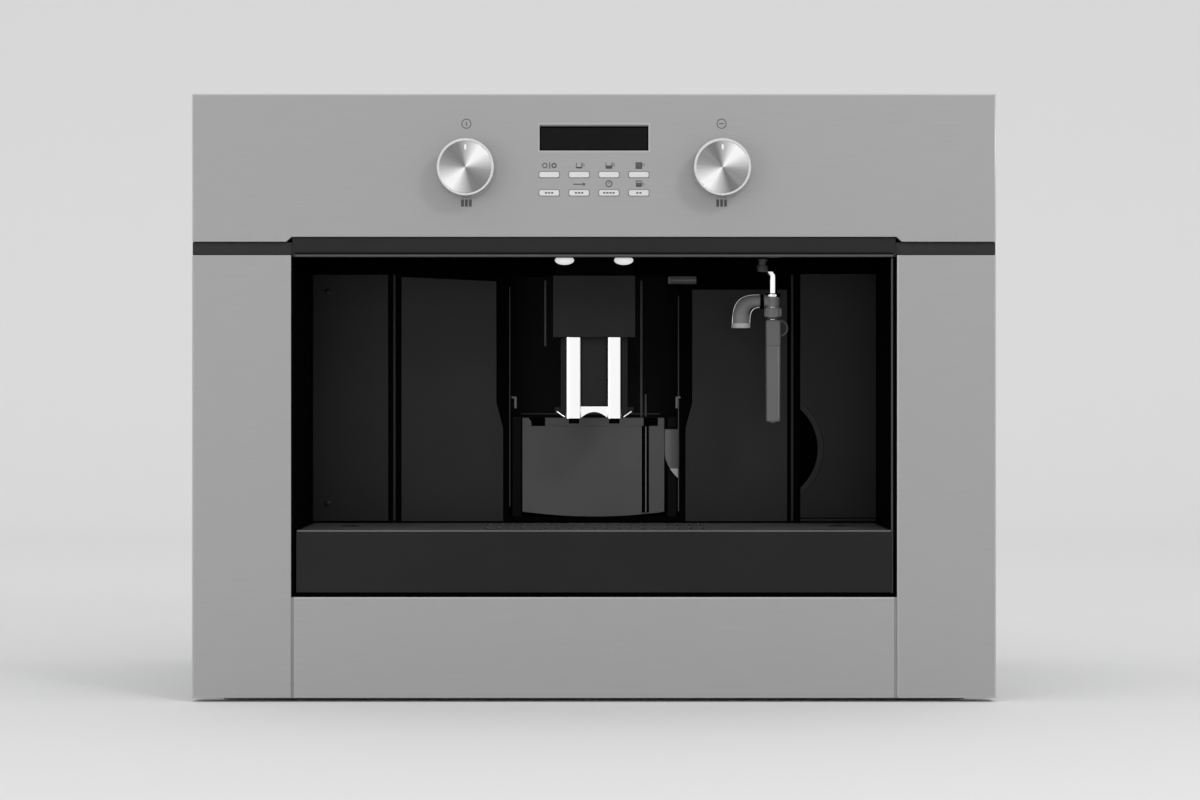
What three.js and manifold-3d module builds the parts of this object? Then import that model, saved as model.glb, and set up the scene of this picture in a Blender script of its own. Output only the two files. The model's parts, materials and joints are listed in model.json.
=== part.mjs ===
// Built-in coffee machine of the compact 45 cm kind. It stands on a base plate in its
// niche and is pulled forward on telescopic rails. Millimetres, +Z up, the front looks
// along -Y, X = 0 is the centre line. In the text below Y = 0 is the face of the front;
// the last lines move the whole so that the origin is the middle of the base plate's
// underside.
import * as THREE from 'three';
import { mergeVertices } from 'three/addons/utils/BufferGeometryUtils.js';
import Module from 'manifold-3d';

// ---------------------------------------------------------------- driving dimensions
const seat = 0.3;               // clearance between pieces that touch
const through = 1;              // how far a cutter passes the face that it leaves
const slip = 0.5;               // running clearance of pieces that slide

// front
const frontWidth = 595;
const frontHeight = 447;
const frontDepth = 22;          // front panels, face to cabinet edge
const floorGap = 3;             // niche floor to the front's lower edge
const skin = 2.5;               // wall of the front panels
const panelHeight = 105.7;      // control panel
const endDrop = 3.6;            // the panel's ends reach this much lower
const endSlant = 4;             // width of the slanted step before them
const visorHeight = 14.7;
const visorLip = 3;             // bright lower lip of the visor
const visorSetback = 2;
const visorDepth = 14;
const visorEndHeight = 9.4;     // narrow ends of the visor, over the side trims
const visorEndSetback = 4;
const lowerHeight = 74.7;       // lower panel
const lowerGap = 1.8;           // joint between lower panel and side trims

// recess
const recessHalf = 221.4;       // half its clear width
const recessDepth = 140;        // front face to the back panels
const linerWall = 2.5;
const linerSetback = 0.6;
const ceilingRise = 2.7;        // recess ceiling above the visor's lower edge
const panelRise = 3.7;          // thickness of the back panels
const groove = 10;              // vertical joint between outer and centre panels
const outerPanelWidth = 60;     // left cover, and the water tank's front on the right
const panelTopGap = 9.7;        // back panels to ceiling
const panelClear = 0.9;         // back panels above the tray's rim
const edgeFall = 2;             // the centre panels' outer ends end lower
const frameReach = 3;           // of the dark frame under the panels
const stepDrop = 8;             // the frame starts to narrow this far below the collar's top
const stepSlant = 20;

// centre moulding and its alcove
const alcoveHalf = 67;
const alcoveTopGap = 1;          // below the back panels' top
const alcoveDepth = 30;
const alcoveWall = 2;
const alcoveFrame = 9.5;        // dark frame beside the alcove
const frameSetback = 2;         // of that frame behind the panels
const lowerFrame = 4.3;         // narrower frame beside the grounds container
const rightPanelDrop = 12;      // the right panel's top is lower
const leftPanelSlope = 3.5;

// grounds container
const binHalf = 55;
const binLift = 0.8;            // above the drawers' common bottom
const binHeight = 71;
const binSetback = 12;          // its front behind the back panels
const binDepth = 140;
const binWall = 2;
const binBow = 6;               // how far its front swells
const binSole = 3.5;            // depth of its rounded lower edge
const collarGap = 1;            // between container and collar
const collarHeight = 5.5;
const chuteRim = 12;
const chuteFrontRim = 4;
const chuteRoof = 2;
const notchX = -46;             // notch in the collar's edge, at the left
const notchHalf = 6;
const notchDepth = 4;
const collarGapX = 43;          // break in the collar at the right
const collarGapWidth = 7;
const gripWidth = 11;
const gripHeight = 39;
const gripDrop = 2.5;           // top of the grip below the bin's top
const gripDepth = 9;

// spout
const housingWidth = 62.4;
const housingFront = 58;        // Y of its face
const housingHeight = 47;       // the part that shows
const housingLift = 11.2;       // its top below the visor's lower edge
const housingWall = 3;
const neckInset = 2;            // hidden upper part, at each side
const neckSetback = 1;
const armInset = 8;
const armHeight = 26;
const armDrop = 4;
const flangeReach = 8;
const flangeOverlap = 4;
const flangeThick = 2.7;
const shaftOverlap = 2;
const spoutHalf = 25.4;
const spoutDepth = 42;
const spoutDrop = 57.5;         // spout body below the housing
const spoutHeld = 20;           // length still inside the housing when lowered
const spoutTravel = 50;
const spoutWall = 3;
const pipeWidth = 10.8;          // flat-faced chrome legs
const pipeDepth = 11;
const pipeCorner = 2.2;
const pipeBore = 3.5;
const pipeProud = 5;            // their faces in front of the spout body
const pipeSpread = 15.3;
const pipeDrop = 8;             // nozzles below the spout body
const nozzleHeight = 3.9;
const nozzleRadius = 4;
const bridgeHeight = 5;
const bridgeDepth = 4.8;
const archRise = 4.6;           // crown of the arch under the bridge
const spoutHollow = 9;          // its hollow starts this far behind its face
const wingReach = 4.5;
const wingHeight = 4.5;
const wingSetback = 4;
const wingDepth = 8;
const wingRoot = 1;

// lamps
const lampRadius = 7.7;
const lampSpread = 22.3;
const lampY = 42;
const lampDrop = 6.8;
const lampDome = [[3, 0], [5.2, 0.9], [6.8, 2.4], [7.4, 4]];   // radius and height up its dome
const lampFlange = 3;
const lampFlangeThick = 2;
const lampSeat = 2;             // its body inside the flange
const lampBodyHeight = 8;

// release tab
const tabWidth = 22.5;
const tabHeight = 6;
const tabX = 57.5;
const tabDrop = 2;              // its top below the back panels' top
const tabThick = 3.6;
const tabTravel = 1.6;
const tabStemWidth = 7;
const tabStemInset = 2;
const tabStemEdge = 1;          // stem thinner than the bar, above and below
const tabStemReach = 3;         // behind the liner

// drip tray
const traySlip = 0.8;
const trayHeight = 46.5;
const trayFront = 1.5;          // Y of its face
const trayFrontWall = 8;
const trayWall = 2.5;
const trayLedge = 2.5;
const trayBackGap = 1.5;
const grilleThick = 3;
const grilleLift = 3.4;
const slotWidth = 3;
const slotLength = 44;
const slotPitch = 9;
const slotCount = 19;           // in each of two rows
const slotRib = 14;             // between the rows
const fingerHoleX = 186;
const fingerHoleRadius = 6;
const floatX = 92;
const floatRadius = 13;
const floatHeight = 11;
const floatStem = 4;
const floatCone = 2;
const floatStemDrop = 1;
const noseDepth = 1.2;          // chamfer along the tray's front edge

// water tank
const tankDepth = 190;
const tankWall = 2.5;
const tankTopGap = 5;           // tank rim below its front's top
const fingerRadius = 41;        // finger recess in its front's left edge
const fingerReach = 13.6;
const fingerRim = 4.5;
const fingerRimRise = 0.9;
const fingerZ = 185.5;           // its centre above the niche floor
const fingerRoom = 16;          // depth behind it

// knobs
const knobRadius = 21.5;
const knobLength = 20;
const knobX = 94.4;
const knobZ = 55.6;             // below the front's top edge
const knobShaft = 3;
const knobEdge = 0.9;
const knobRim = 1.2;
const knobDish = 0.6;
const knobFoot = 3;
const knobStandoff = 0.8;
const pointerRadius = 1.3;
const pointerReach = 14.8;
const pointerDepth = 1.2;

// display and buttons
const displayWidth = 80.4;
const displayHeight = 19;
const displayZ = 32.6;          // centre, below the front's top edge
const displaySink = 0.2;
const displayThick = 4.3;
const displayFlange = 2;
const screenInset = 1;
const buttonWidth = 14.7;
const buttonHeight = 4.2;
const buttonPitchX = 22.1;
const buttonRows = [59.8, 73.3];  // centres, below the front's top edge
const buttonProud = 0.8;
const barRound = 1.1;           // corners of the buttons and of the release tab
const buttonTravel = 0.8;
const buttonFlange = 1;
const buttonSlack = 0.1;        // between a pressed stem and its switch
const stemSize = 3;
const boardY = 28;              // front of the control board
const boardHalf = 130;
const boardHeight = 70;
const boardThick = 1.6;
const boardDrop = 54;           // its middle below the front's top edge
const bossInset = 6;
const bossEdge = 3;
const switchDepth = 3;
const encoderSize = 14;
const encoderDepth = 2.3;
const switchSize = 6;
const standoffRadius = 3.5;

// steam wand
const wandX = 129;              // where it leaves the ceiling
const wandOffset = 7.5;         // sideways bend to the sleeve
const wandY = 75;
const wandRadius = 3.4;
const ballRadius = 8;
const ballRise = 6;             // ball centre above the ceiling's plate
const slotMargin = 2;           // of the wand's slot in the ceiling
const socketWall = 6;
const socketNose = 2;
const socketRoof = 2;
const feedRadius = 3;
const wandBend = 3;             // where the bend starts, below the ceiling
const wandBendHeight = 10;
const bendLead = 5;             // straight lengths before and after it
const hubDrop = 28;             // top of the handle's hub below the ceiling
const hubHeight = 9.6;
const hubRadius = 5;
const nutHeight = 7.4;
const nutRadius = 6;
const sleeveGap = 2;            // between nut and sleeve
const sleeveLength = 78;
const sleeveRadius = 5.7;
const sleeveHeld = 58;          // pipe inside the sleeve
const elbowRadius = 4.6;        // at the hub, growing to the mouth
const mouthRadius = 6.6;
const mouthLip = 7;
const lipHeight = 3;
const elbowReach = 24.5;        // hub to the middle of its mouth
const elbowDrop = 20.5;         // its middle line down to the mouth
const elbowBend = 11;           // radius of its bend
const clipRadius = 6;
const clipThick = 5;
const clipSink = 1.5;
const clipDrop = 0.6;           // its top below the sleeve's top
const sleeveTip = 2;
const jetRadius = 1.5;
const swingForward = 35;        // degrees

// body behind the front
const casingInset = 18.5;       // casing sides inside the front's ends
const casingDepth = 400;        // Y of its back
const topStep = 10;             // casing top below the front's top edge
const sheet = 1.2;              // steel sheet
const deckSetback = 22;         // inner deck behind the spout
const casingFlange = 50;
const ventCount = 6;
const ventWidth = 60;
const ventHeight = 5;
const ventPitch = 14;
const ventX = 130;
const ventDrop = 140;           // lowest vent below the casing's top

// base plate and rails
const baseFront = 26;
const baseDepth = 370;
const baseInset = 2;            // base plate inside the casing's sides
const baseWallRise = 2;         // its walls above the rails
const anchorPitch = 120;        // screw slots in the base plate
const anchorCount = 4;
const anchorInset = 50;
const anchorLength = 30;
const anchorWidth = 6;
const railHeight = 45;
const railLength = 360;
const railDepth = 13.3;         // base flange to pan wall
const railGauge = 1.5;
const railZ = 5;
const railStart = 30;
const panFloor = 14;            // pan above the niche floor
const panLip = 60.5;            // top of the pan's lip

// inner pieces
const hopperInset = 144;        // its middle to the casing's left side
const hopperY = 260;
const hopperWidth = 130;
const hopperLength = 140;
const hopperWall = 3;
const hopperMouth = 20;         // radius of its outlet
const hopperRim = 3;
const hopperRimReach = 4;
const hopperNeck = 8;           // funnel's foot outside its mouth
const funnelFloor = 4;
const hopperFunnel = 60;        // height of the sloping part
const lidThick = 3;
const lidOverlap = 5;           // lid beyond the hopper's rim
const lidSlip = 1;
const barrelRadius = 2.2;
const barrelRise = 1.2;         // its underside above the cover
const hingeWeb = 1.2;           // half thickness
const pinPlay = 0.25;
const lugHalf = 3;
const lugFoot = 6;
const liftHalf = 25;
const liftInset = 4;
const liftThick = 4;
const liftHeight = 4;
const barrelLength = 90;
const pinRadius = 1.3;
const pinLength = 6;
const hingeInset = 2;           // hinge line in front of the lid's rear edge
const lugRoom = 7;              // notches in the lid for the hinge lugs
const grinderRadius = 42;
const grinderHeight = 84;
const grinderFoot = 25;         // radius of its foot
const grinderFootHeight = 22;
const grinderTaper = [4, 12];   // slope from the foot to the drum
const grinderRim = 6;
const throatWall = 4;
const throatDepth = 20;
const doseStart = 10;
const doseHalf = 12;
const doseFloor = 4;
const brewHalf = 50;
const brewFront = 185;
const brewDepth = 100;
const brewTopGap = 8.5;         // under the deck
const brewBore = 22;
const brewWall = 8;
const brewSill = 6;             // height of its foot, and its step back
const brewShoulder = 43;        // frame's top below the yoke's
const brewChamberDrop = 4;
const brewBoreDrop = 49;
const yokeInset = 6;
const yokeHalf = 9;
const yokeHeight = 16;
const brewMotorRadius = 18;
const brewMotorInset = 24;
const pumpRadius = 22;
const pumpInset = 129;          // its middle to the casing's left side
const pumpY = 90;
const pumpLength = 80;
const pumpFootRise = 3;
const pumpFootHalf = 5;
const pumpFootSpread = 27;
const pumpFootDepth = 20;
const pumpFootDrop = 6;
const pumpPortRadius = 6;
const pumpPortLength = 22;
const heaterGap = 13.9;         // to the brew unit and to the tank's cassette
const heaterY = 245;
const heaterLength = 110;
const heaterHeight = 30;
const heaterPost = 4;
const heaterPostHeight = 5;
const heaterPostInset = 8;
const heaterPortLength = 14;
const heaterPortX = 18;
const powerY = 255;
const powerLength = 150;
const powerHeight = 120;
const powerDepth = 22;
const powerBoard = 2;
const powerMargin = 6;
const powerZ = 90;
const inletInset = 41;          // its middle to the casing's side
const inletZ = 88;
const inletWidth = 28;
const inletHeight = 21;
const inletDepth = 18;
const inletFlange = 8;
const inletFlangeRise = 2;
const inletWall = 2;
const inletPinPitch = 7;
const inletPinHalf = [1, 2];    // half width and half height
const inletPinRise = 3;         // of the middle one

// ---------------------------------------------------------------- derived levels
const frontHalf = frontWidth / 2;
const frontTop = floorGap + frontHeight;
const casingTop = frontTop - topStep;
const casingHalf = frontHalf - casingInset;
const baseHalf = casingHalf - baseInset;
const inletX = casingHalf - inletInset;
const hopperX = hopperInset - casingHalf;
const pumpX = pumpInset - casingHalf;
const ventZ = casingTop - ventDrop;
const panelBottom = frontTop - panelHeight;
const visorTop = panelBottom - seat;
const visorBottom = visorTop - visorHeight;
const visorEndTop = visorTop - endDrop;
const visorEndBottom = visorEndTop - visorEndHeight;
const trimTop = visorEndBottom - seat;
const lowerTop = floorGap + lowerHeight;
const linerHalf = recessHalf + linerWall;
const trimInner = linerHalf + seat;
const linerBottom = lowerTop + seat;
const recessFloor = linerBottom + linerWall;
const ceiling = visorBottom + ceilingRise;
const ceilingTop = ceiling + linerWall;
const trayBottom = recessFloor + seat;
const trayTop = trayBottom + trayHeight;
const panelBase = trayTop + panelClear;
const panelTop = ceiling - panelTopGap;
const backWall = recessDepth + panelRise;
const linerBack = backWall + linerWall;
const drawerBottom = trayTop + grilleLift + slip;   // what slides out over the grille
const behindFront = frontDepth + seat;
const deckBottom = ceilingTop + seat;
const deckTop = deckBottom + sheet;
const ballZ = ceilingTop + ballRise;
const swing = swingForward * Math.PI / 180;
const swingRoom = (ballZ - ceiling) * Math.tan(swing) + wandRadius / Math.cos(swing) + slip;
const coverBottom = casingTop - sheet;

// ---------------------------------------------------------------- shape helpers
const wasm = await Module();
wasm.setup();

// Corners are put on a grid of 1/1024 mm, so that faces meant to lie in one plane do.
const grid = 1024;

function cleaned(geometry) {
  const bare = geometry.clone();
  bare.deleteAttribute('normal');
  bare.deleteAttribute('uv');
  const corners = bare.attributes.position.array;
  for (let i = 0; i < corners.length; i += 1) {
    corners[i] = Math.round(corners[i] * grid) / grid;
  }
  const merged = mergeVertices(bare, 1e-4);
  const index = merged.index.array;
  const kept = [];
  for (let i = 0; i < index.length; i += 3) {
    const [a, b, c] = [index[i], index[i + 1], index[i + 2]];
    if (a !== b && b !== c && c !== a) kept.push(a, b, c);
  }
  merged.setIndex(kept);
  return merged;
}

function solid(shape) {
  if (!shape.isBufferGeometry) return shape;
  const bare = cleaned(shape);
  return new wasm.Manifold(new wasm.Mesh({
    numProp: 3,
    vertProperties: new Float32Array(bare.attributes.position.array),
    triVerts: new Uint32Array(bare.index.array),
  }));
}

function join(first, ...others) {
  return others.reduce((whole, next) => whole.add(solid(next)), solid(first));
}

function cut(first, ...others) {
  return others.reduce((whole, next) => whole.subtract(solid(next)), solid(first));
}

function meshed(shape) {
  if (shape.isBufferGeometry) return cleaned(shape);
  const mesh = shape.getMesh();
  const geometry = new THREE.BufferGeometry();
  geometry.setAttribute('position', new THREE.BufferAttribute(mesh.vertProperties, 3));
  geometry.setIndex(new THREE.BufferAttribute(mesh.triVerts, 1));
  return geometry;
}

// a box between two corners
function block(x0, x1, y0, y1, z0, z1) {
  return new THREE.BoxGeometry(x1 - x0, y1 - y0, z1 - z0)
    .translate((x0 + x1) / 2, (y0 + y1) / 2, (z0 + z1) / 2);
}

function outline(points) {
  return new THREE.Shape(points.map(([a, b]) => new THREE.Vector2(a, b)));
}

function extruded(shape, depth, curveSegments = 8) {
  return new THREE.ExtrudeGeometry(shape, { depth, bevelEnabled: false, curveSegments });
}

// outline in X and Z, from y0 back to y1
function frontProfile(points, y0, y1, curveSegments) {
  const shape = Array.isArray(points) ? outline(points) : points;
  return extruded(shape, y1 - y0, curveSegments).rotateX(Math.PI / 2).translate(0, y1, 0);
}

// outline in X and Y, from z0 up to z1
function planProfile(points, z0, z1) {
  const shape = Array.isArray(points) ? outline(points) : points;
  return extruded(shape, z1 - z0, 10).translate(0, 0, z0);
}

// outline in Y and Z, from x0 to x1
function sideProfile(points, x0, x1) {
  const turn = new THREE.Matrix4().set(0, 0, 1, x0, 1, 0, 0, 0, 0, 1, 0, 0, 0, 0, 0, 1);
  return extruded(outline(points), x1 - x0).applyMatrix4(turn);
}

// round rod along an axis, between two values on it
function rod(axis, radius, from, to, a, b, sides = 24) {
  const round = new THREE.CylinderGeometry(radius, radius, to - from, sides);
  const middle = (from + to) / 2;
  if (axis === 'x') return round.rotateZ(Math.PI / 2).translate(middle, a, b);
  if (axis === 'y') return round.translate(a, middle, b);
  return round.rotateX(Math.PI / 2).translate(a, b, middle);
}

// revolved profile of [radius, height] points about a vertical line, or one along Y
function turned(profile, sides, vertical = true) {
  const points = profile.map(([r, h]) => new THREE.Vector2(r, h));
  const lathe = new THREE.LatheGeometry(points, sides);
  return vertical ? lathe.rotateX(Math.PI / 2) : lathe;
}

// round tube along a smooth curve through points
function bentRod(points, radius, steps, sides) {
  const path = new THREE.CatmullRomCurve3(points.map((p) => new THREE.Vector3(...p)));
  const ring = outline(Array.from({ length: sides }, (_, i) => {
    const angle = (i + 0.5) * 2 * Math.PI / sides;
    return [radius * Math.cos(angle), radius * Math.sin(angle)];
  }));
  return new THREE.ExtrudeGeometry(ring, { steps, extrudePath: path });
}

// tube that bends down to the left in a quarter circle, its radius growing to its mouth
function elbowTube(x, y, z, lead, bend, drop, from, to, steps = 10, sides = 20) {
  const rings = [[x, z, 0, from]];
  for (let i = 0; i <= steps; i += 1) {
    const angle = i / steps * Math.PI / 2;
    rings.push([x - lead - bend * Math.sin(angle), z - bend * (1 - Math.cos(angle)), angle,
      from + (to - from) * i / steps]);
  }
  rings.push([x - lead - bend, z - drop, Math.PI / 2, to]);
  const corners = [];
  for (const [cx, cz, angle, radius] of rings) {
    for (let k = 0; k < sides; k += 1) {
      const turn = k * 2 * Math.PI / sides;
      const rise = radius * Math.cos(turn);
      corners.push(cx - rise * Math.sin(angle), y + radius * Math.sin(turn),
        cz + rise * Math.cos(angle));
    }
  }
  const last = rings.length - 1;
  const faces = [];
  for (let i = 0; i < last; i += 1) {
    for (let k = 0; k < sides; k += 1) {
      const a = i * sides + k;
      const b = i * sides + (k + 1) % sides;
      faces.push(a, b, b + sides, a, b + sides, a + sides);
    }
  }
  for (let k = 1; k < sides - 1; k += 1) {
    faces.push(0, k + 1, k);
    faces.push(last * sides, last * sides + k, last * sides + k + 1);
  }
  const tube = new THREE.BufferGeometry();
  tube.setAttribute('position', new THREE.Float32BufferAttribute(corners, 3));
  tube.setIndex(faces);
  return tube;
}

// rectangle in plan with rounded corners, from z0 up to z1
function roundedPost(x, y, width, depth, corner, z0, z1) {
  const a = x - width / 2 + corner;
  const b = x + width / 2 - corner;
  const c = y - depth / 2 + corner;
  const d = y + depth / 2 - corner;
  const shape = new THREE.Shape();
  shape.absarc(b, c, corner, -Math.PI / 2, 0, false);
  shape.absarc(b, d, corner, 0, Math.PI / 2, false);
  shape.absarc(a, d, corner, Math.PI / 2, Math.PI, false);
  shape.absarc(a, c, corner, Math.PI, 1.5 * Math.PI, false);
  return extruded(shape, z1 - z0, 3).translate(0, 0, z0);
}

function mirrored(shape) {
  return solid(shape).mirror([1, 0, 0]);
}

// ---------------------------------------------------------------- materials
function finish(color, roughness, metalness, opacity = 1) {
  return new THREE.MeshStandardMaterial({
    color, roughness, metalness, opacity, transparent: opacity < 1,
  });
}

const satinGrey = finish(0xa0a0a0, 0.45, 0.3);
const darkTrim = finish(0x343434, 0.35, 0.4);
const blackGloss = finish(0x101010, 0.2, 0);
const darkPlastic = finish(0x222222, 0.4, 0);
const greyPlastic = finish(0x464646, 0.4, 0);
const chromed = finish(0xf0f0f0, 0.12, 1);
const turnedAluminium = finish(0xcccccc, 0.3, 1);
const zincSteel = finish(0xb4b6b8, 0.45, 0.9);
const clearTank = finish(0xb8c0c4, 0.15, 0, 0.5);
const lampGlass = finish(0xffffff, 0.3, 0);
const boardGreen = finish(0x2d5a3a, 0.6, 0);
const innerGrey = finish(0x77797b, 0.5, 0.2);

// ---------------------------------------------------------------- assembly
const body = new THREE.Group();

function piece(name, shape, material) {
  const mesh = new THREE.Mesh(meshed(shape), material);
  mesh.name = name;
  body.add(mesh);
}

// ---- base plate and telescopic rails
const baseBack = baseFront + baseDepth;
const baseWallTop = railZ + railHeight + baseWallRise;

function basePlate() {
  const inside = baseHalf - sheet;
  const folded = frontProfile([
    [-baseHalf, 0], [baseHalf, 0], [baseHalf, baseWallTop], [inside, baseWallTop],
    [inside, sheet], [-inside, sheet], [-inside, baseWallTop], [-baseHalf, baseWallTop],
  ], baseFront, baseBack);
  const screwSlots = [];
  for (let i = 0; i < anchorCount; i += 1) {
    const x = (i - (anchorCount - 1) / 2) * anchorPitch;
    for (const y of [baseFront + anchorInset, baseBack - anchorInset]) {
      screwSlots.push(block(x - anchorLength / 2, x + anchorLength / 2, y - anchorWidth / 2,
        y + anchorWidth / 2, -through, sheet + through));
    }
  }
  return cut(folded, ...screwSlots);
}

piece('base_plate', basePlate(), zincSteel);

// A rail member is a channel, open inwards or outwards; its depths are counted inwards
// from the base plate's wall.
function railMember(outer, inner, half, opensInwards) {
  const z = railZ + railHeight / 2;
  const wallX = baseHalf - sheet - seat;
  const back = opensInwards ? wallX - outer : wallX - inner;
  const edge = opensInwards ? wallX - inner : wallX - outer;
  const web = opensInwards ? back - railGauge : back + railGauge;
  return frontProfile([
    [back, z - half], [back, z + half], [edge, z + half], [edge, z + half - railGauge],
    [web, z + half - railGauge], [web, z - half + railGauge], [edge, z - half + railGauge],
    [edge, z - half],
  ], railStart, railStart + railLength);
}

const railSlot = railDepth - 2 * seat;
const middleHalf = railHeight / 2 - railGauge - slip;
const innerHalf = middleHalf - railGauge - slip;
const middleOuter = railGauge + slip;
const innerOuter = middleOuter + railGauge + slip;
const railParts = [
  ['rail_outer', railMember(0, railSlot - slip, railHeight / 2, true)],
  ['rail_middle', railMember(middleOuter, railSlot - slip, middleHalf, true)],
  ['rail_inner', railMember(innerOuter, railSlot, innerHalf, false)],
];
for (const [name, shape] of railParts) {
  piece(`${name}_right`, shape, zincSteel);
  piece(`${name}_left`, mirrored(shape), zincSteel);
}

// ---- chassis pan, casing, deck and top cover
const panHalf = baseHalf - sheet - railDepth;
const panFront = behindFront + slip;
const panBack = casingDepth - sheet - seat;

function chassisPan() {
  const outer = block(-panHalf, panHalf, panFront, panBack, panFloor, panLip);
  const inner = block(-panHalf + sheet, panHalf - sheet, panFront + sheet, panBack - sheet,
    panFloor + sheet, panLip + through);
  const lip = block(panHalf - sheet, casingHalf, panFront, panBack, panLip - sheet, panLip);
  return join(cut(outer, inner), lip, mirrored(lip));
}

piece('chassis_pan', chassisPan(), zincSteel);

const casingBottom = panLip + seat;
const casingWallTop = coverBottom - seat;

function casing() {
  const outside = casingHalf;
  const inside = casingHalf - sheet;
  const edge = casingHalf - casingFlange;
  const foldY = behindFront + sheet;
  const backY = casingDepth - sheet;
  const folded = planProfile([
    [edge, behindFront], [outside, behindFront], [outside, casingDepth],
    [-outside, casingDepth], [-outside, behindFront], [-edge, behindFront], [-edge, foldY],
    [-inside, foldY], [-inside, backY], [inside, backY], [inside, foldY], [edge, foldY],
  ], casingBottom, casingWallTop);
  const cuts = [];
  for (let i = 0; i < ventCount; i += 1) {
    const z = ventZ + i * ventPitch;
    for (const x of [-ventX, ventX]) {
      cuts.push(block(x - ventWidth / 2, x + ventWidth / 2, backY - through,
        casingDepth + through, z, z + ventHeight));
    }
  }
  cuts.push(block(inletX - inletWidth / 2 - seat, inletX + inletWidth / 2 + seat,
    backY - through, casingDepth + through,
    inletZ - inletHeight / 2 - seat, inletZ + inletHeight / 2 + seat));
  return cut(folded, ...cuts);
}

piece('casing', casing(), zincSteel);

const deckFront = housingFront + spoutDepth + deckSetback;
const hopperHoleRadius = hopperMouth + slip;
const deckHalf = casingHalf - sheet - seat;

piece('inner_deck', cut(
  block(-deckHalf, deckHalf, deckFront, panBack, deckBottom, deckTop),
  rod('z', hopperHoleRadius, deckBottom - through, deckTop + through, hopperX, hopperY),
), zincSteel);

const lidHalfX = hopperWidth / 2 + lidOverlap;
const lidHalfY = hopperLength / 2 + lidOverlap;
const hingeY = hopperY + lidHalfY - hingeInset;
const hingeZ = casingTop + barrelRadius + barrelRise;
const lidSweep = Math.hypot(hingeInset, hingeZ - coverBottom);
const hopperTop = hingeZ - lidSweep - seat;   // clear of the lid's edge as it turns

function topCover() {
  const plate = block(-casingHalf, casingHalf, behindFront, casingDepth, coverBottom, casingTop);
  const mouth = block(hopperX - lidHalfX - lidSlip, hopperX + lidHalfX + lidSlip,
    hopperY - lidHalfY - lidSlip, hopperY + lidHalfY + lidSlip, coverBottom - through,
    casingTop + through);
  let cover = cut(plate, mouth);
  for (const side of [-1, 1]) {
    const inner = hopperX + side * (barrelLength / 2 + slip);
    const outer = hopperX + side * (barrelLength / 2 + pinLength);
    const x0 = Math.min(inner, outer);
    const x1 = Math.max(inner, outer);
    const back = hopperY + lidHalfY + lidSlip;
    const lug = block(x0, x1, hingeY - lugHalf, back + lugFoot, hingeZ - lugHalf,
      hingeZ + lugHalf);
    const foot = block(x0, x1, back, back + lugFoot, coverBottom, hingeZ);
    const hole = rod('x', pinRadius + pinPlay, x0 - through, x1 + through, hingeY, hingeZ, 16);
    cover = cut(join(cover, lug, foot), hole);
  }
  return cover;
}

piece('top_cover', topCover(), zincSteel);

function beanLid() {
  const plate = block(hopperX - lidHalfX, hopperX + lidHalfX, hopperY - lidHalfY,
    hopperY + lidHalfY, coverBottom, coverBottom + lidThick);
  const half = barrelLength / 2;
  const web = block(hopperX - half, hopperX + half, hingeY - hingeWeb, hingeY + hingeWeb,
    casingTop, hingeZ);
  const barrel = rod('x', barrelRadius, hopperX - half, hopperX + half, hingeY, hingeZ, 16);
  const pin = rod('x', pinRadius, hopperX - half - pinLength + slip,
    hopperX + half + pinLength - slip, hingeY, hingeZ, 16);
  const liftY = hopperY - lidHalfY + liftInset;
  const lift = block(hopperX - liftHalf, hopperX + liftHalf, liftY, liftY + liftThick,
    coverBottom, coverBottom + lidThick + liftHeight);
  const lugRooms = [-1, 1].map((side) => {
    const inner = hopperX + side * half;
    const outer = hopperX + side * (half + pinLength + slip);
    return block(Math.min(inner, outer), Math.max(inner, outer), hingeY - lugRoom,
      hopperY + lidHalfY + through, coverBottom - through, coverBottom + lidThick + through);
  });
  return join(cut(plate, ...lugRooms), web, barrel, pin, lift);
}

piece('bean_lid', beanLid(), darkPlastic);

// ---- front panels
const boardMiddle = frontTop - boardDrop;
const bossPlaces = [-1, 1].flatMap((i) => [-1, 1].map((j) =>
  [i * (boardHalf - bossInset), boardMiddle + j * (boardHeight / 2 - bossEdge)]));

function roundedBar(x, z, width, height, y0, y1) {
  const r = barRound;
  const a = x - width / 2;
  const b = z - height / 2;
  const shape = new THREE.Shape();
  shape.moveTo(a + r, b).lineTo(a + width - r, b);
  shape.absarc(a + width - r, b + r, r, -Math.PI / 2, 0, false);
  shape.absarc(a + width - r, b + height - r, r, 0, Math.PI / 2, false);
  shape.absarc(a + r, b + height - r, r, Math.PI / 2, Math.PI, false);
  shape.absarc(a + r, b + r, r, Math.PI, 1.5 * Math.PI, false);
  return frontProfile(shape, y0, y1, 3);
}

const buttonColumns = [-1.5, -0.5, 0.5, 1.5].map((n) => n * buttonPitchX);
const buttonPlaces = buttonRows.flatMap((row) => buttonColumns.map((x) => [x, frontTop - row]));
const displayMiddle = frontTop - displayZ;
const knobHeight = frontTop - knobZ;

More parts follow.
